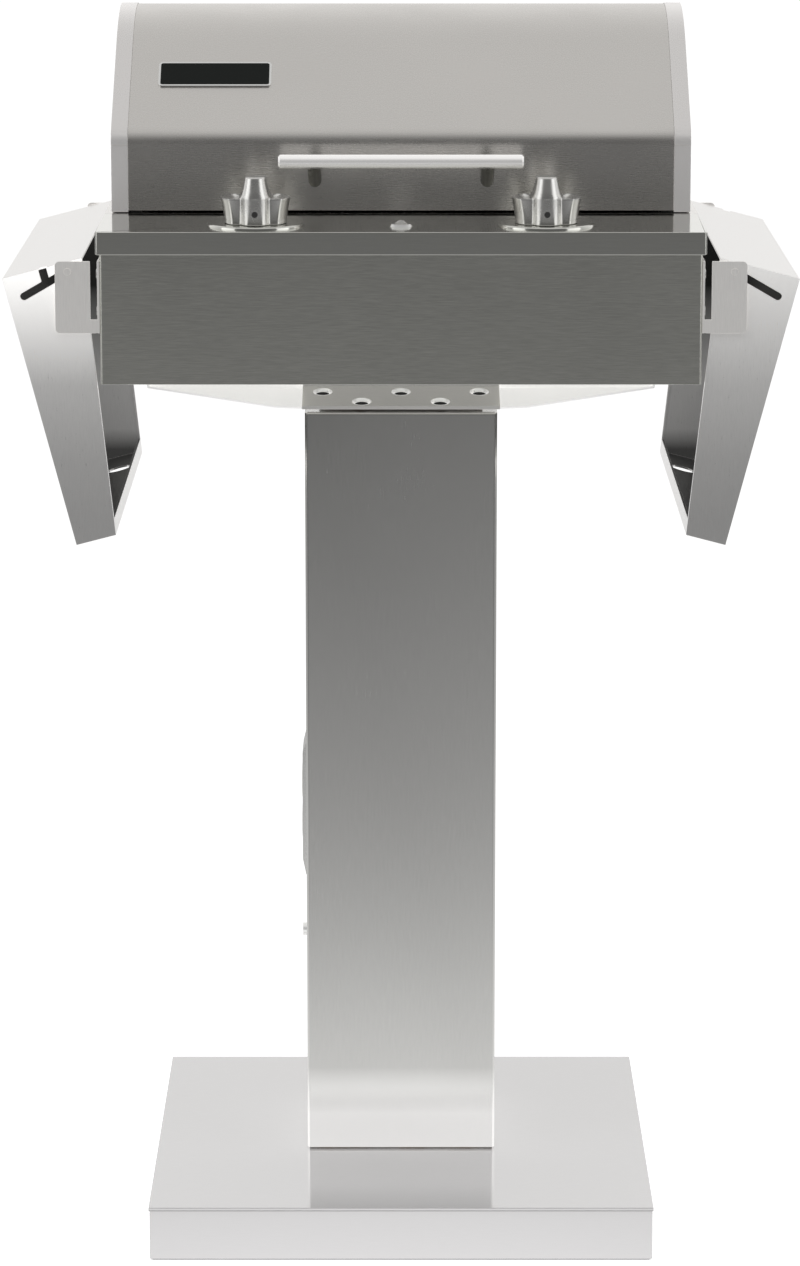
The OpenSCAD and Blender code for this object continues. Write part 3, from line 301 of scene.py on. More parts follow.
def heat_tinted(name, tint, rough):
    """Inner sheet that has seen heat and grease: straw and brown patches over dull steel."""
    material, tree, shader = new_material(name)
    stains = noise(tree, STAIN_SCALE, detail=GRAIN_DETAIL, roughness=STREAK_ROUGHNESS)
    colour = mix_colours(tree, map_range(tree, stains, STAIN_SPAN, (0.0, 1.0)), tint, STAIN_TINT)
    coat(tree, shader, colour, spread(tree, stains, rough, rough + STAIN_ROUGHNESS))
    shader.inputs["Metallic"].default_value = 1.0
    bump(tree, shader, noise(tree, PITS_SCALE), PITS_BUMP, PITS_DEPTH)
    return material


def lens_material():
    """Frosted clear cap of the indicator, with a little dust."""
    material, tree, shader = new_material("lens")
    dust = noise(tree, DUST_SCALE)
    coat(tree, shader, mix_colours(tree, dust, DUST_DARK, DUST_PALE), spread(tree, dust, *DUST_ROUGHNESS))
    shader.inputs["Transmission Weight"].default_value = LENS_CLEAR
    bump(tree, shader, dust, DUST_BUMP, DUST_DEPTH)
    return material


WARM = (0.74, 0.72, 0.695)
NEUTRAL = (0.785, 0.78, 0.76)
lid_steel = brushed("lid_steel", WARM, 0.27, X_AXIS, stretch_share=0.7, depth=0.00001, contrast=0.02)
body_steel = brushed("body_steel", (0.70, 0.70, 0.655), 0.20, X_AXIS, depth=0.00005, contrast=0.10)
side_steel = brushed("side_steel", (0.78, 0.765, 0.74), 0.24, Y_AXIS, contrast=0.06)
column_steel = brushed("column_steel", NEUTRAL, 0.22, Z_AXIS, depth=0.00004, contrast=0.035)
panel_steel = brushed("panel_steel", (0.72, 0.72, 0.68), 0.10, X_AXIS, stretch_share=0.3, depth=0.00002,
                      contrast=0.03)
base_steel = brushed("base_steel", (0.77, 0.76, 0.765), 0.10, X_AXIS, stretch_share=0.3, depth=0.00002,
                     contrast=0.02, metallic=0.4)
cap_steel = brushed("cap_steel", (0.84, 0.82, 0.81), 0.30, Y_AXIS, depth=0.00002, contrast=0.02, metallic=0.9)
# The neck, wings and brackets carry painted glow: emission that brightens them though they are no lamps.
neck_steel = brushed("neck_steel", (0.80, 0.79, 0.77), 0.36, X_AXIS, contrast=0.04, metallic=0.6, glow=0.12)
wing_steel = brushed("wing_steel", (0.90, 0.895, 0.89), 0.5, X_AXIS, contrast=0.01, metallic=0.1, glow=0.56)
bracket_steel = brushed("bracket_steel", (0.80, 0.785, 0.765), 0.42, Z_AXIS, contrast=0.05, metallic=0.6,
                        glow=0.20)
polished = plain_metal("polished", (0.86, 0.86, 0.85), 0.12, 900.0, contrast=0.03)
turned = brushed("turned", (0.84, 0.83, 0.82), 0.24, X_AXIS, stretch_share=0.4, contrast=0.03)
knob_steel = plain_metal("knob_steel", (0.80, 0.795, 0.775), 0.24, 1400.0, contrast=0.03)
# The vent dishes and the supply gland carry painted glow that brightens them.
vent_steel = plain_metal("vent_steel", (0.92, 0.92, 0.91), 0.30, 1400.0, contrast=0.02, glow=0.30)
# Painted shade: the handle posts are steel painted dark, as if they stood in shadow.
post_steel = plain_metal("post_steel", (0.22, 0.22, 0.205), 0.30, 1400.0, contrast=0.03)
satin = plain_metal("satin", (0.80, 0.795, 0.785), 0.22, 700.0)
fastener = plain_metal("fastener", (0.70, 0.70, 0.69), 0.30, 900.0)
grate_metal = plain_metal("grate_metal", (0.58, 0.57, 0.55), 0.30, 500.0, contrast=0.12)
inner_metal = heat_tinted("inner_metal", (0.50, 0.49, 0.48), 0.42)
element_metal = solid("element_metal", (0.14, 0.13, 0.12), 0.55, 700.0, 0.0001)
ivory_plastic = solid("ivory_plastic", (0.78, 0.77, 0.72), 0.35, 900.0, 0.00003, contrast=0.03)
dark_plastic = solid("dark_plastic", (0.05, 0.05, 0.05), 0.5, 900.0, 0.0001)
rubber = solid("rubber", (0.03, 0.03, 0.03), 0.8, 400.0, 0.0003)
iron = solid("iron", (0.16, 0.16, 0.165), 0.75, 300.0, 0.0006)
enamel = solid("enamel", (0.006, 0.008, 0.007), 0.6, 1300.0, 0.0003, contrast=0.5, specular=0.15)
lens = lens_material()

glow_facing(turned, "Z", (-0.80, -0.20), (0.0, 0.32))
glow_facing(cap_steel, "Y", (-0.97, -0.80), (0.18, 0.0))
glow_facing(base_steel, "Y", (-0.97, -0.80), (0.11, 0.0))
glow_at_foot(column_steel, (0.085, 0.13), (0.50, 0.0))

# ---- shelf sheet: its faces are told apart by where they look and lie when the shelf hangs, for painted light and shade ----
SHELF_GRAIN = (GRAIN_CROSS, GRAIN_CROSS, GRAIN_ALONG * 2.0)
PIN_X, PIN_Z = 0.290, 0.900
SHELF_LEAN = math.radians(14.6)
SHELF_HEIGHTS = (0.66, 0.90)
LIP_DEPTH = 0.040
END_TOP = 0.70
FACING = 0.8
SHEET_FACING = 0.9
# Painted light: levels of the flanges from the shelf's foot up to the pin, paler towards the top as if lit
# there.
FLANGE_TONES = ((0.0, 0.64), (0.30, 0.66), (0.60, 0.80), (1.0, 1.0))
FLANGE_TINT = (1.0, 0.99, 0.975)
SHEET_TINT = (0.86, 0.85, 0.84)
DEEP_SHADE = (0.02, 0.02, 0.019)
HIDDEN_SHARE = 0.88
FOLD_HEIGHTS, FOLD_SHADE = (0.670, 0.690), (0.80, 0.05)
TOP_HEIGHTS, TOP_SHADE = (0.735, 0.83), (0.0, 0.95)
DULL_HEIGHTS, DULL_SHARES = (0.68, 0.90), (0.12, 0.95)
STREAK_DARK, STREAK_PALE = (0.93, 0.93, 0.93), (1.0, 1.0, 1.0)
SHELF_ROUGHNESS = (0.27, 0.37)
SHELF_SPECULAR = 0.3
SHELF_STRETCH = 0.5
SHELF_BUMP, SHELF_DEPTH = 0.35, 0.0001
# Strengths of painted glow on the shelf sheet.
GLOW_HEIGHTS = (0.80, 0.90)
SHEET_GLOW = 0.09
REAR_GLOW = 0.10
LIP_GLOW = 0.45


def flange_finish(name, side, glows):
    """Shelf sheet brushed along its length, with painted light and shade: flanges painted paler near the pin
    and darker at the free end, painted glow, and inner faces painted in deep shade.
    """
    material, tree, shader = new_material(name)

    def plus(first, second):
        return math_node(tree, "ADD", first, second)

    def times(first, second):
        return math_node(tree, "MULTIPLY", first, second)

    def above(first, second):
        return math_node(tree, "GREATER_THAN", first, second)

    def below(first, second):
        return math_node(tree, "LESS_THAN", first, second)

    streaks = noise(tree, 1.0, SHELF_GRAIN, STREAK_DETAIL, STREAK_ROUGHNESS)
    coords = tree.nodes.new("ShaderNodeTexCoord")
    spot = split(tree, coords.outputs["Object"])
    facing = split(tree, coords.outputs["Normal"])

    flange = above(math_node(tree, "ABSOLUTE", facing["Y"]), FACING)
    rear = times(below(facing["Y"], -FACING), above(spot["Y"], 0.0))
    end_inside = times(above(facing["Z"], FACING), below(spot["Z"], END_TOP))
    inward = above(times(facing["X"], side), SHEET_FACING)
    across = times(plus(times(spot["X"], side), PIN_X), -math.cos(SHELF_LEAN))
    down = times(math_node(tree, "SUBTRACT", spot["Z"], PIN_Z), -math.sin(SHELF_LEAN))
    rise = plus(across, down)
    lip = times(inward, below(rise, LIP_DEPTH))
    lining = times(inward, above(rise, LIP_DEPTH))

    # Painted light: the flange colour grows paler with height.
    tone = tree.nodes.new("ShaderNodeValToRGB")
    set_stops(tone, FLANGE_TONES, FLANGE_TINT)
    tree.links.new(map_range(tree, spot["Z"], SHELF_HEIGHTS, (0.0, 1.0)), tone.inputs["Fac"])
    # Painted shade: the rear flange's inner face near its fold and towards the top, and the inner faces of
    # the end and sheet, are mixed towards deep shade.
    rear_shade = times(rear, plus(map_range(tree, spot["Z"], FOLD_HEIGHTS, FOLD_SHADE),
                                  map_range(tree, spot["Z"], TOP_HEIGHTS, TOP_SHADE)))
    sheet_shade = times(plus(end_inside, lining), HIDDEN_SHARE)
    flange_colour = mix_colours(tree, rear_shade, tone.outputs["Color"], DEEP_SHADE)
    sheet_colour = mix_colours(tree, sheet_shade, SHEET_TINT, DEEP_SHADE)
    even = mix_colours(tree, flange, sheet_colour, flange_colour)
    streaky = mix_colours(tree, spread(tree, streaks, 0.0, 1.0), STREAK_DARK, STREAK_PALE)
    colour = mix_colours(tree, 1.0, even, streaky, blend="MULTIPLY")

    coat(tree, shader, colour, spread(tree, streaks, *SHELF_ROUGHNESS))
    dull = times(flange, map_range(tree, spot["Z"], DULL_HEIGHTS, DULL_SHARES))
    tree.links.new(math_node(tree, "SUBTRACT", 1.0, dull), shader.inputs["Metallic"])
    # Painted light: emission near the pin, on the lip, on the rear flange's inner face and over the whole
    # sheet.
    lit = times(flange, map_range(tree, spot["Z"], GLOW_HEIGHTS, glows))
    lit = plus(lit, times(lip, LIP_GLOW))
    lit = plus(lit, times(rear, REAR_GLOW))
    emit(tree, shader, colour, plus(lit, SHEET_GLOW))
    shader.inputs["Specular IOR Level"].default_value = SHELF_SPECULAR
    shader.inputs["Anisotropic"].default_value = SHELF_STRETCH
    tree.links.new(across_grain(tree, Z_AXIS), shader.inputs["Tangent"])
    bump(tree, shader, streaks, SHELF_BUMP, SHELF_DEPTH)
    return material


# The two shelves differ only in painted glow near the pin: a lit and a shaded copy of one finish.
left_shelf_steel = flange_finish("left_shelf_steel", 1.0, (0.02, 0.54))
right_shelf_steel = flange_finish("right_shelf_steel", -1.0, (0.0, 0.14))

# ---- finish of every CAD node ----
FINISH = {
    base_steel: ("base_cover",),
    panel_steel: ("control_panel", "knob_bezels"),
    column_steel: ("column_shell", "rear_panel", "outlet_plate"),
    neck_steel: ("neck_cover",),
    wing_steel: ("left_wing", "right_wing"),
    body_steel: ("body_shell", "body_bottom", "grease_tray"),
    side_steel: ("top_frame",),
    bracket_steel: ("left_brackets", "right_brackets", "left_pins", "right_pins"),
    lid_steel: ("lid_shell",),
    cap_steel: ("left_lid_cap", "right_lid_cap"),
    left_shelf_steel: ("left_shelf",),
    right_shelf_steel: ("right_shelf",),
    turned: ("lid_handle",),
    post_steel: ("handle_posts",),
    knob_steel: ("left_knob", "right_knob"),
    polished: ("name_plate", "indicator_bezel"),
    vent_steel: ("supply_gland",),
    satin: ("body_hinges", "lid_hinges"),
    fastener: ("foot_bolts", "rear_panel_screws", "riser_bolts", "hinge_pins", "bracket_screws",
               "handle_screws", "left_shaft", "right_shaft"),
    inner_metal: ("firebox", "lid_liner", "grate_rails", "element_support", "tray_rails", "head_riser",
                  "outlet_box", "conduit", "column_foot"),
    grate_metal: ("left_grate", "right_grate"),
    element_metal: ("left_element", "right_element"),
    ivory_plastic: ("receptacle",),
    dark_plastic: ("left_control", "right_control"),
    rubber: ("base_pad",),
    iron: ("base_ballast",),
    enamel: ("name_field",),
    lens: ("indicator_lens",),
}
for material, names in FINISH.items():
    for name in names:
        nodes[name].data.materials.clear()
        nodes[name].data.materials.append(material)

# ---- visible sheet parts, copied with eased edges ----
EASE = {
    "base_cover": 0.0010, "column_shell": 0.0004, "rear_panel": 0.0004, "outlet_plate": 0.0004,
    "left_wing": 0.0004, "right_wing": 0.0004, "neck_cover": 0.0003, "body_shell": 0.0004,
    "top_frame": 0.0006, "control_panel": 0.0007, "left_brackets": 0.0004, "right_brackets": 0.0004,
    "lid_shell": 0.0003, "left_lid_cap": 0.0004, "right_lid_cap": 0.0004, "name_plate": 0.0003,
    "left_shelf": 0.0005, "right_shelf": 0.0005, "grease_tray": 0.0003,
}
EASE_SEGMENTS = 2
FLAT_ANGLE = math.radians(0.4)
SHARP_ANGLE = math.radians(28)
WELD = 1e-6


def eased(node, width):
    """A copy of a CAD node with rounded edges, shown in its place."""
    source = nodes[node]
    work = bmesh.new()
    work.from_mesh(source.data)
    bmesh.ops.remove_doubles(work, verts=work.verts, dist=WELD)
    bmesh.ops.dissolve_limit(work, angle_limit=FLAT_ANGLE, verts=work.verts, edges=work.edges)
    work.verts.index_update()
    mesh = bpy.data.meshes.new(node + "_eased")
    mesh.from_pydata([v.co[:] for v in work.verts], [], [[v.index for v in f.verts] for f in work.faces])
    work.free()
    mesh.materials.append(source.data.materials[0])
    mesh.shade_smooth()
    mesh.set_sharp_from_angle(angle=SHARP_ANGLE)
    piece = bpy.data.objects.new(node + "_eased", mesh)
    bpy.context.scene.collection.objects.link(piece)
    piece.matrix_world = source.matrix_world
    edge = piece.modifiers.new("edge", "BEVEL")
    edge.width = width
    edge.segments = EASE_SEGMENTS
    edge.limit_method = "ANGLE"
    edge.angle_limit = SHARP_ANGLE
    edge.use_clamp_overlap = False
    edge.harden_normals = True
    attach(piece, body_of(source)[0])
    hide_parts(node)


for node, width in EASE.items():
    eased(node, width)


# ---- new pieces ----
def add_piece(name, corners, faces, material, node, smooth=False, sharp_from=None, replaces=False):
    """A mesh that rides with a CAD node's body, shown in the node's place where asked."""
    mesh = bpy.data.meshes.new(name)
    mesh.from_pydata(corners, [], faces)
    mesh.materials.append(material)
    if smooth:
        mesh.shade_smooth()
    if sharp_from:
        mesh.set_sharp_from_angle(angle=sharp_from)
    piece = bpy.data.objects.new(name, mesh)
    bpy.context.scene.collection.objects.link(piece)
    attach(piece, body_of(nodes[node])[0])
    if replaces:
        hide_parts(node)


def full_turn(sides):
    """Angles all the way round."""
    return [2 * math.pi * i / sides for i in range(sides)]


# ---- knobs: fluted skirt, rounded column in front and a tapered grip, lofted ring by ring (mm) ----
KNOB_SPOKES = 128
KNOB_X, KNOB_Y, KNOB_Z = 0.1275, -0.174, 0.9381
KNOB_SHARP = math.radians(50)
COLUMN_MID, COLUMN_R = 15.9, 12.6
SKIRT_LOW, SKIRT_HIGH, SKIRT_H = 27.5, 30.9, 22.0
SKIRT_FLARE = 1.6
SKIRT_LEVELS = (0.0, 1.0, 3.0, 7.0, 11.0, 15.0, 18.0, 20.0, 21.2)
FOOT_RINGS = ((-0.5, -0.85), (-0.1, -0.6))
VALLEY_R = 22.8
VALLEY_TURN = (31.0, 50.0)
VALLEY_BLEND = 0.9
SIDE_TURN = (22.0, 50.0)
RIM_IN, RIM_LEVEL = 0.25, 21.8
BROW_IN, BROW_DROP = 0.9, 0.05
SHOULDER_DIP = 2.4
SHOULDER_RINGS = ((0.45, 0.45, 0.05), (0.85, 0.95, 0.1))
GRIP_GAP, GRIP_FOOT = 0.2, 19.0
GRIP_FRONT = 24.0
GRIP_WIDTHS = ((18.0, 19.0), (19.5, 17.0), (21.0, 15.0), (23.0, 13.2), (25.0, 12.2), (28.0, 11.2),
               (34.0, 9.8), (41.0, 8.6))
GRIP_DEPTHS = ((18.0, 28.5), (22.0, 28.4), (26.0, 27.9), (41.0, 24.0))
GRIP_RINGS = ((22.2, 19.4), (22.6, 20.4), (23.4, 21.8), (24.6, 23.6), (26.2, 25.6), (28.5, 28.2),
              (32.0, 32.0), (36.0, 36.0), (39.3, 39.3), (40.4, 40.4))
TOP_FALL = 0.063
TOP_H, TOP_EDGE = 41.0, 40.9
TOP_EDGE_IN = 0.5
TOP_SHARES = (0.86, 0.5)
HOLE_R, HOLE_Z, HOLE_Y = 2.7, 9.0, -28.62


def stepped(value, table_rows):
    """Straight-line reading of a table of (place, value)."""
    for (x0, y0), (x1, y1) in zip(table_rows, table_rows[1:]):
        if value <= x1:
            return y0 + (y1 - y0) * max(0.0, value - x0) / (x1 - x0)
    return table_rows[-1][1]


def smooth_step(value, low, high):
    t = min(1.0, max(0.0, (value - low) / (high - low)))
    return t * t * (3.0 - 2.0 * t)


def soft_max(a, b):
    return VALLEY_BLEND * math.log(math.exp(a / VALLEY_BLEND) + math.exp(b / VALLEY_BLEND))


def skirt_radius(off, z):
    """Radius of the skirt at an angle off the front or back, in degrees."""
    a = math.radians(off)
    side = COLUMN_MID * math.sin(a)
    column = COLUMN_MID * math.cos(a) + math.sqrt(COLUMN_R ** 2 - side ** 2) if side < COLUMN_R else 0.0
    full = SKIRT_LOW + (SKIRT_HIGH - SKIRT_LOW) * (z / SKIRT_H) ** SKIRT_FLARE
    shoulder = VALLEY_R + (full - VALLEY_R) * smooth_step(off, *VALLEY_TURN)
    return min(full, soft_max(column, shoulder))


def grip_radius(off, z):
    a = math.radians(off)
    half = stepped(z, GRIP_WIDTHS)
    mid = stepped(z, GRIP_DEPTHS) - half
    if math.sin(a) > 0 and half / math.sin(a) * math.cos(a) < mid:
        return half / math.sin(a)
    return mid * math.cos(a) + math.sqrt(max(0.0, half ** 2 - (mid * math.sin(a)) ** 2))


def knob_rings(off):
    """Profile of the knob at one angle, from the foot of the skirt over the shoulder to the grip's top."""
    side = smooth_step(off, *SIDE_TURN)
    rings = [(skirt_radius(off, 0.0) + step, z) for step, z in FOOT_RINGS]
    rings += [(skirt_radius(off, z), z) for z in SKIRT_LEVELS]
    rim = skirt_radius(off, SKIRT_H)
    foot = min(rim - GRIP_GAP, grip_radius(off, GRIP_FOOT))
    rings.append((rim - RIM_IN * side, RIM_LEVEL))
    rings.append((rim - BROW_IN * side, SKIRT_H - BROW_DROP * side))
    for across, dip, lift in SHOULDER_RINGS:
        rings.append((rim + (foot - rim) * across * side,
                      SKIRT_H - SHOULDER_DIP * dip * side + lift * (1 - side)))
    for front_z, side_z in GRIP_RINGS:
        z = front_z + (side_z - front_z) * side
        rings.append((min(grip_radius(off, z), rim), z))
    top = grip_radius(off, TOP_H)
    return rings + [(top - TOP_EDGE_IN, TOP_EDGE)] + [(top * share, TOP_H) for share in TOP_SHARES]


def knob_piece(name, x, node):
    columns = []
    for i in range(KNOB_SPOKES):
        turn = 360.0 * i / KNOB_SPOKES
        off = min(turn % 180.0, 180.0 - turn % 180.0)
        direction = (math.sin(math.radians(turn)), -math.cos(math.radians(turn)))
        column = []
        for radius, z in knob_rings(off):
            px, py = radius * direction[0], radius * direction[1]
            fall = max(0.0, (z - SKIRT_H) / (TOP_H - SKIRT_H)) * (py + GRIP_FRONT) * TOP_FALL
            column.append((x + px * MM, KNOB_Y + py * MM, KNOB_Z + (z - fall) * MM))
        columns.append(column)
    levels = len(columns[0])
    corners = [corner for column in columns for corner in column]
    corners.append((x, KNOB_Y, KNOB_Z + (TOP_H - GRIP_FRONT * TOP_FALL) * MM))
    corners.append((x, KNOB_Y, KNOB_Z + FOOT_RINGS[0][1] * MM))
    faces = []
    for i in range(KNOB_SPOKES):
        a, b = i * levels, (i + 1) % KNOB_SPOKES * levels
        faces += [(a + k, b + k, b + k + 1, a + k + 1) for k in range(levels - 1)]
        faces += [(a + levels - 1, b + levels - 1, len(corners) - 2), (b, a, len(corners) - 1)]
    add_piece(name, corners, faces, knob_steel, node, smooth=True, sharp_from=KNOB_SHARP, replaces=True)
    # Painted shade: a flat dark disc stands for the dark inside of the pointer hole.
    hole = [(x + HOLE_R * math.cos(t) * MM, KNOB_Y + HOLE_Y * MM,
             KNOB_Z + (HOLE_Z + HOLE_R * math.sin(t)) * MM) for t in full_turn(ROUND_SIDES)]
    add_piece(name + "_hole", hole, [tuple(range(ROUND_SIDES))], dark_plastic, node)


knob_piece("left_knob_shape", -KNOB_X, "left_knob")
knob_piece("right_knob_shape", KNOB_X, "right_knob")

# ---- turned rings: knob bezels with a raised rim, and the dished vents of the neck (mm) ----
TURN_SIDES = 96
DECK_Z = 0.935
BEZEL_PROFILE = ((43.0, 0.0), (42.9, 1.3), (42.5, 2.0), (41.9, 2.4), (41.2, 2.58), (40.4, 2.5), (39.4, 2.25),
                 (38.0, 2.1), (30.0, 2.0), (12.0, 2.0))
NECK_FRONT, NECK_TOP = -0.065, 0.7565
NECK_SLOPE = math.radians(13.3)
VENT_PITCH = 35.8
VENT_ROWS = (11.2, 34.6)
VENT_PLACES = range(-2, 3)
DISH_PROFILE = ((8.5, 0.06), (8.2, -0.1), (6.35, -3.0))
HOLE_PROFILE = ((6.35, -3.0), (3.0, -3.0), (0.0, -3.0))
LEVEL = (Vector(X_AXIS), Vector(Y_AXIS), Vector(Z_AXIS))
SLOPED = (Vector(X_AXIS), Vector((0.0, math.cos(NECK_SLOPE), math.sin(NECK_SLOPE))),
          Vector((0.0, -math.sin(NECK_SLOPE), math.cos(NECK_SLOPE))))


def turned_rings(name, profile, centres, directions, material, node, replaces=False):
    """A profile of (radius, rise) turned about each centre; directions are the two flat ones and the rise."""
    across, along, up = directions
    corners, faces = [], []
    for centre in centres:
        for radius, rise in profile:
            start = len(corners)
            for t in full_turn(TURN_SIDES):
                flat = across * (radius * math.cos(t)) + along * (radius * math.sin(t))
                corners.append(Vector(centre) + (flat + up * rise) * MM)
            if (radius, rise) != profile[0]:
                for i in range(TURN_SIDES):
                    j = (i + 1) % TURN_SIDES
                    faces.append((start - TURN_SIDES + i, start - TURN_SIDES + j, start + j, start + i))
    add_piece(name, corners, faces, material, node, smooth=True, replaces=replaces)


knob_centres = [(-KNOB_X, KNOB_Y, DECK_Z), (KNOB_X, KNOB_Y, DECK_Z)]
vent_centres = [Vector((i * VENT_PITCH * MM, NECK_FRONT, NECK_TOP))
                + SLOPED[1] * (VENT_ROWS[(i + 1) % 2] * MM) for i in VENT_PLACES]
turned_rings("bezel_shapes", BEZEL_PROFILE, knob_centres, LEVEL, panel_steel, "knob_bezels", replaces=True)
turned_rings("vent_dishes", DISH_PROFILE, vent_centres, SLOPED, vent_steel, "neck_cover")
# Painted shade: a flat dark disc at the foot of each dish stands for the dark inside of the vent hole.
turned_rings("vent_holes", HOLE_PROFILE, vent_centres, SLOPED, rubber, "neck_cover")

# ---- openings of the two outlet faces, drawn as flat dark faces of painted shade, and the plate's screw ----
FACE_X = -0.0925
PLATE_X = -0.0919
FACE_RISE = 0.00015
OUTLET_Y, OUTLET_Z, FACE_STEP = 0.012, 0.370, 0.0195
SLOT_W, SLOT_H = 0.0015, 0.0075
SLOT_GAP = 0.00635
EARTH_R = 0.0024
EARTH_DROP = 0.0095
SCREW_R = 0.0032


def flat_piece(name, outlines, x, material, node):
    """Thin faces lying on an outer face that looks along -X, each a list of (y, z) corners."""
    corners, faces = [], []
    for outline in outlines:
        start = len(corners)
        corners += [(x, y, z) for y, z in outline]
        faces.append(tuple(range(start, start + len(outline))))
    add_piece(name, corners, faces, material, node)


def upright(y, z):
    w, h = SLOT_W / 2, SLOT_H / 2
    return [(y - w, z - h), (y - w, z + h), (y + w, z + h), (y + w, z - h)]


def ring(y, z, radius):
    return [(y + radius * math.cos(-t), z + radius * math.sin(-t)) for t in full_turn(ROUND_SIDES)]


openings = []
for side in (-1, 1):
    mid_z = OUTLET_Z + side * FACE_STEP
    openings += [upright(OUTLET_Y - SLOT_GAP, mid_z), upright(OUTLET_Y + SLOT_GAP, mid_z),
                 ring(OUTLET_Y, mid_z - EARTH_DROP, EARTH_R)]
# Painted shade: flat dark faces stand for the dark insides of the slots and earth holes.
flat_piece("outlet_openings", openings, FACE_X - FACE_RISE, dark_plastic, "receptacle")
flat_piece("outlet_screw", [ring(OUTLET_Y, OUTLET_Z, SCREW_R)], PLATE_X - FACE_RISE, fastener, "outlet_plate")

# ---- floor and surroundings ----
FLOOR_HALF = 30.0
FLOOR_REACH = 12.0
FLOOR_STEPS = ((0.0, 1.0), (0.15, 0.94), (0.45, 0.71), (0.75, 0.60), (1.13, 0.48), (1.6, 0.37), (3.0, 0.27),
               (4.6, 0.215), (6.4, 0.185), (8.7, 0.145), (12.0, 0.13))
COLUMN_FACE_Y = -0.063
SIDE_SHARE = 0.5
BACK_SHARE = 0.45
FLOOR_GLOW = 0.58
FLOOR_TINT = (0.8, 0.8, 0.8, 1.0)
FRONT_LOW = 0.13
BACK_LOW = 0.95
OVERHEAD = 0.66
HORIZON_SPAN = (-0.75, 0.75)
OVERHEAD_SPAN = (0.42, 0.95)
SKY_TINT = (1.0, 0.995, 0.985, 1.0)
WHITE = (1.0, 1.0, 1.0, 1.0)


def floor_material():
    """White, with the object's shadow, to the camera; to the steel, pale near the object and darker away."""
    material = bpy.data.materials.new("floor_white")
    material.use_nodes = True
    tree = material.node_tree
    tree.nodes.clear()
    out = tree.nodes.new("ShaderNodeOutputMaterial")
    spot = split(tree, tree.nodes.new("ShaderNodeNewGeometry").outputs["Position"])
    ahead = math_node(tree, "SUBTRACT", spot["Y"], COLUMN_FACE_Y)
    front = math_node(tree, "MINIMUM", ahead, 0.0)
    back = math_node(tree, "MULTIPLY", math_node(tree, "MAXIMUM", ahead, 0.0), BACK_SHARE)
    depth = math_node(tree, "POWER", math_node(tree, "ADD", front, back), 2.0)
    side = math_node(tree, "POWER", math_node(tree, "MULTIPLY", spot["X"], SIDE_SHARE), 2.0)
    away = math_node(tree, "POWER", math_node(tree, "ADD", depth, side), 0.5)
    ramp = tree.nodes.new("ShaderNodeValToRGB")
    set_stops(ramp, [(place / FLOOR_REACH, level) for place, level in FLOOR_STEPS])
    tree.links.new(math_node(tree, "DIVIDE", away, FLOOR_REACH), ramp.inputs["Fac"])
    mirrored = tree.nodes.new("ShaderNodeEmission")
    tree.links.new(ramp.outputs["Color"], mirrored.inputs["Color"])
    ground = tree.nodes.new("ShaderNodeEmission")
    ground.inputs["Strength"].default_value = FLOOR_GLOW
    matt = tree.nodes.new("ShaderNodeBsdfDiffuse")
    matt.inputs["Color"].default_value = FLOOR_TINT
    white = tree.nodes.new("ShaderNodeAddShader")
    tree.links.new(ground.outputs[0], white.inputs[0])
    tree.links.new(matt.outputs[0], white.inputs[1])
    camera_pick(tree, mirrored.outputs[0], white.outputs[0], out)
    return material


def lay_floor():
    mesh = bpy.data.meshes.new("floor")
    turns = ((-1, -1), (1, -1), (1, 1), (-1, 1))
    mesh.from_pydata([(x * FLOOR_HALF, y * FLOOR_HALF, 0) for x, y in turns], [], [(0, 1, 2, 3)])
    mesh.materials.append(floor_material())
    floor = bpy.data.objects.new("floor", mesh)
    bpy.context.scene.collection.objects.link(floor)


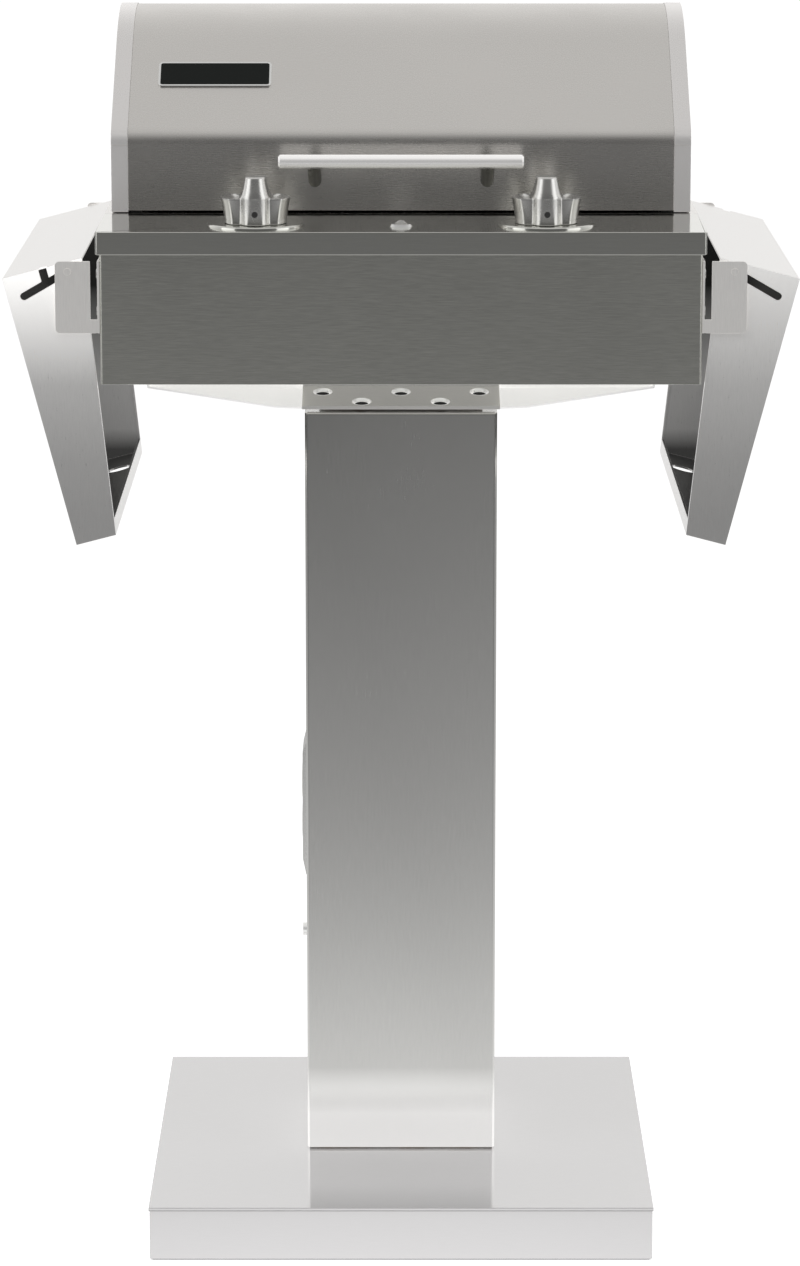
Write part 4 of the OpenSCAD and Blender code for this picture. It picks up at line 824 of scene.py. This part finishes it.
def surround():
    """White to the camera; dark ahead, pale behind and bright overhead to everything else."""
    world = bpy.data.worlds.new("studio")
    bpy.context.scene.world = world
    world.use_nodes = True
    tree = world.node_tree
    tree.nodes.clear()
    out = tree.nodes.new("ShaderNodeOutputWorld")
    look = split(tree, tree.nodes.new("ShaderNodeTexCoord").outputs["Generated"])
    low = map_range(tree, look["Y"], HORIZON_SPAN, (FRONT_LOW, BACK_LOW))
    high = map_range(tree, look["Z"], OVERHEAD_SPAN, (0.0, 1.0))
    rest = math_node(tree, "MULTIPLY", low, math_node(tree, "SUBTRACT", 1.0, high))
    around = tree.nodes.new("ShaderNodeBackground")
    around.inputs["Color"].default_value = SKY_TINT
    tree.links.new(math_node(tree, "ADD", rest, math_node(tree, "MULTIPLY", high, OVERHEAD)),
                   around.inputs["Strength"])
    white = tree.nodes.new("ShaderNodeBackground")
    white.inputs["Color"].default_value = WHITE
    camera_pick(tree, around.outputs[0], white.outputs[0], out)


lay_floor()
surround()

# ---- lamps ----
LOOK_AT = (0.0, 0.0, 0.75)
TOP_PLACE, TOP_SIZE, TOP_POWER = (-0.5, -1.5, 2.9), (3.0, 2.0), 16.0
EDGE_X, EDGE_Y, EDGE_Z = 2.5, -1.1, 1.5
EDGE_SIZE, EDGE_POWER = (1.7, 1.9), 9.0


def softbox(name, place, size, power, mirrored=True):
    data = bpy.data.lights.new(name, "AREA")
    data.shape = "RECTANGLE"
    data.size, data.size_y = size
    data.energy = power
    lamp = bpy.data.objects.new(name, data)
    bpy.context.scene.collection.objects.link(lamp)
    lamp.location = place
    lamp.rotation_mode = "QUATERNION"
    direction = [aim - start for aim, start in zip(LOOK_AT, place)]
    lamp.rotation_quaternion = Vector(direction).to_track_quat("-Z", "Y")
    lamp.visible_glossy = mirrored


softbox("top_front", TOP_PLACE, TOP_SIZE, TOP_POWER, mirrored=False)
softbox("left_edge", (-EDGE_X, EDGE_Y, EDGE_Z), EDGE_SIZE, EDGE_POWER)
softbox("right_edge", (EDGE_X, EDGE_Y, EDGE_Z), EDGE_SIZE, EDGE_POWER)

# ---- camera solved from the photo; its focal length and offset are in the photo's pixels ----
PHOTO_HEIGHT = 1266.0
FOCAL = 4700.0
CENTRE_OFFSET = 1.0
SENSOR = 36.0
CAMERA_PLACE = (0.0, -4.2825, 1.437)
PITCH = 11.93
camera_data = bpy.data.cameras.new("camera")
camera_data.sensor_width = SENSOR
camera_data.lens = FOCAL / PHOTO_HEIGHT * SENSOR
camera_data.shift_x = -CENTRE_OFFSET / PHOTO_HEIGHT
camera = bpy.data.objects.new("camera", camera_data)
bpy.context.scene.collection.objects.link(camera)
camera.location = CAMERA_PLACE
camera.rotation_euler = (math.radians(90.0 - PITCH), 0.0, 0.0)
bpy.context.scene.camera = camera
bpy.context.scene.view_settings.view_transform = "Standard"
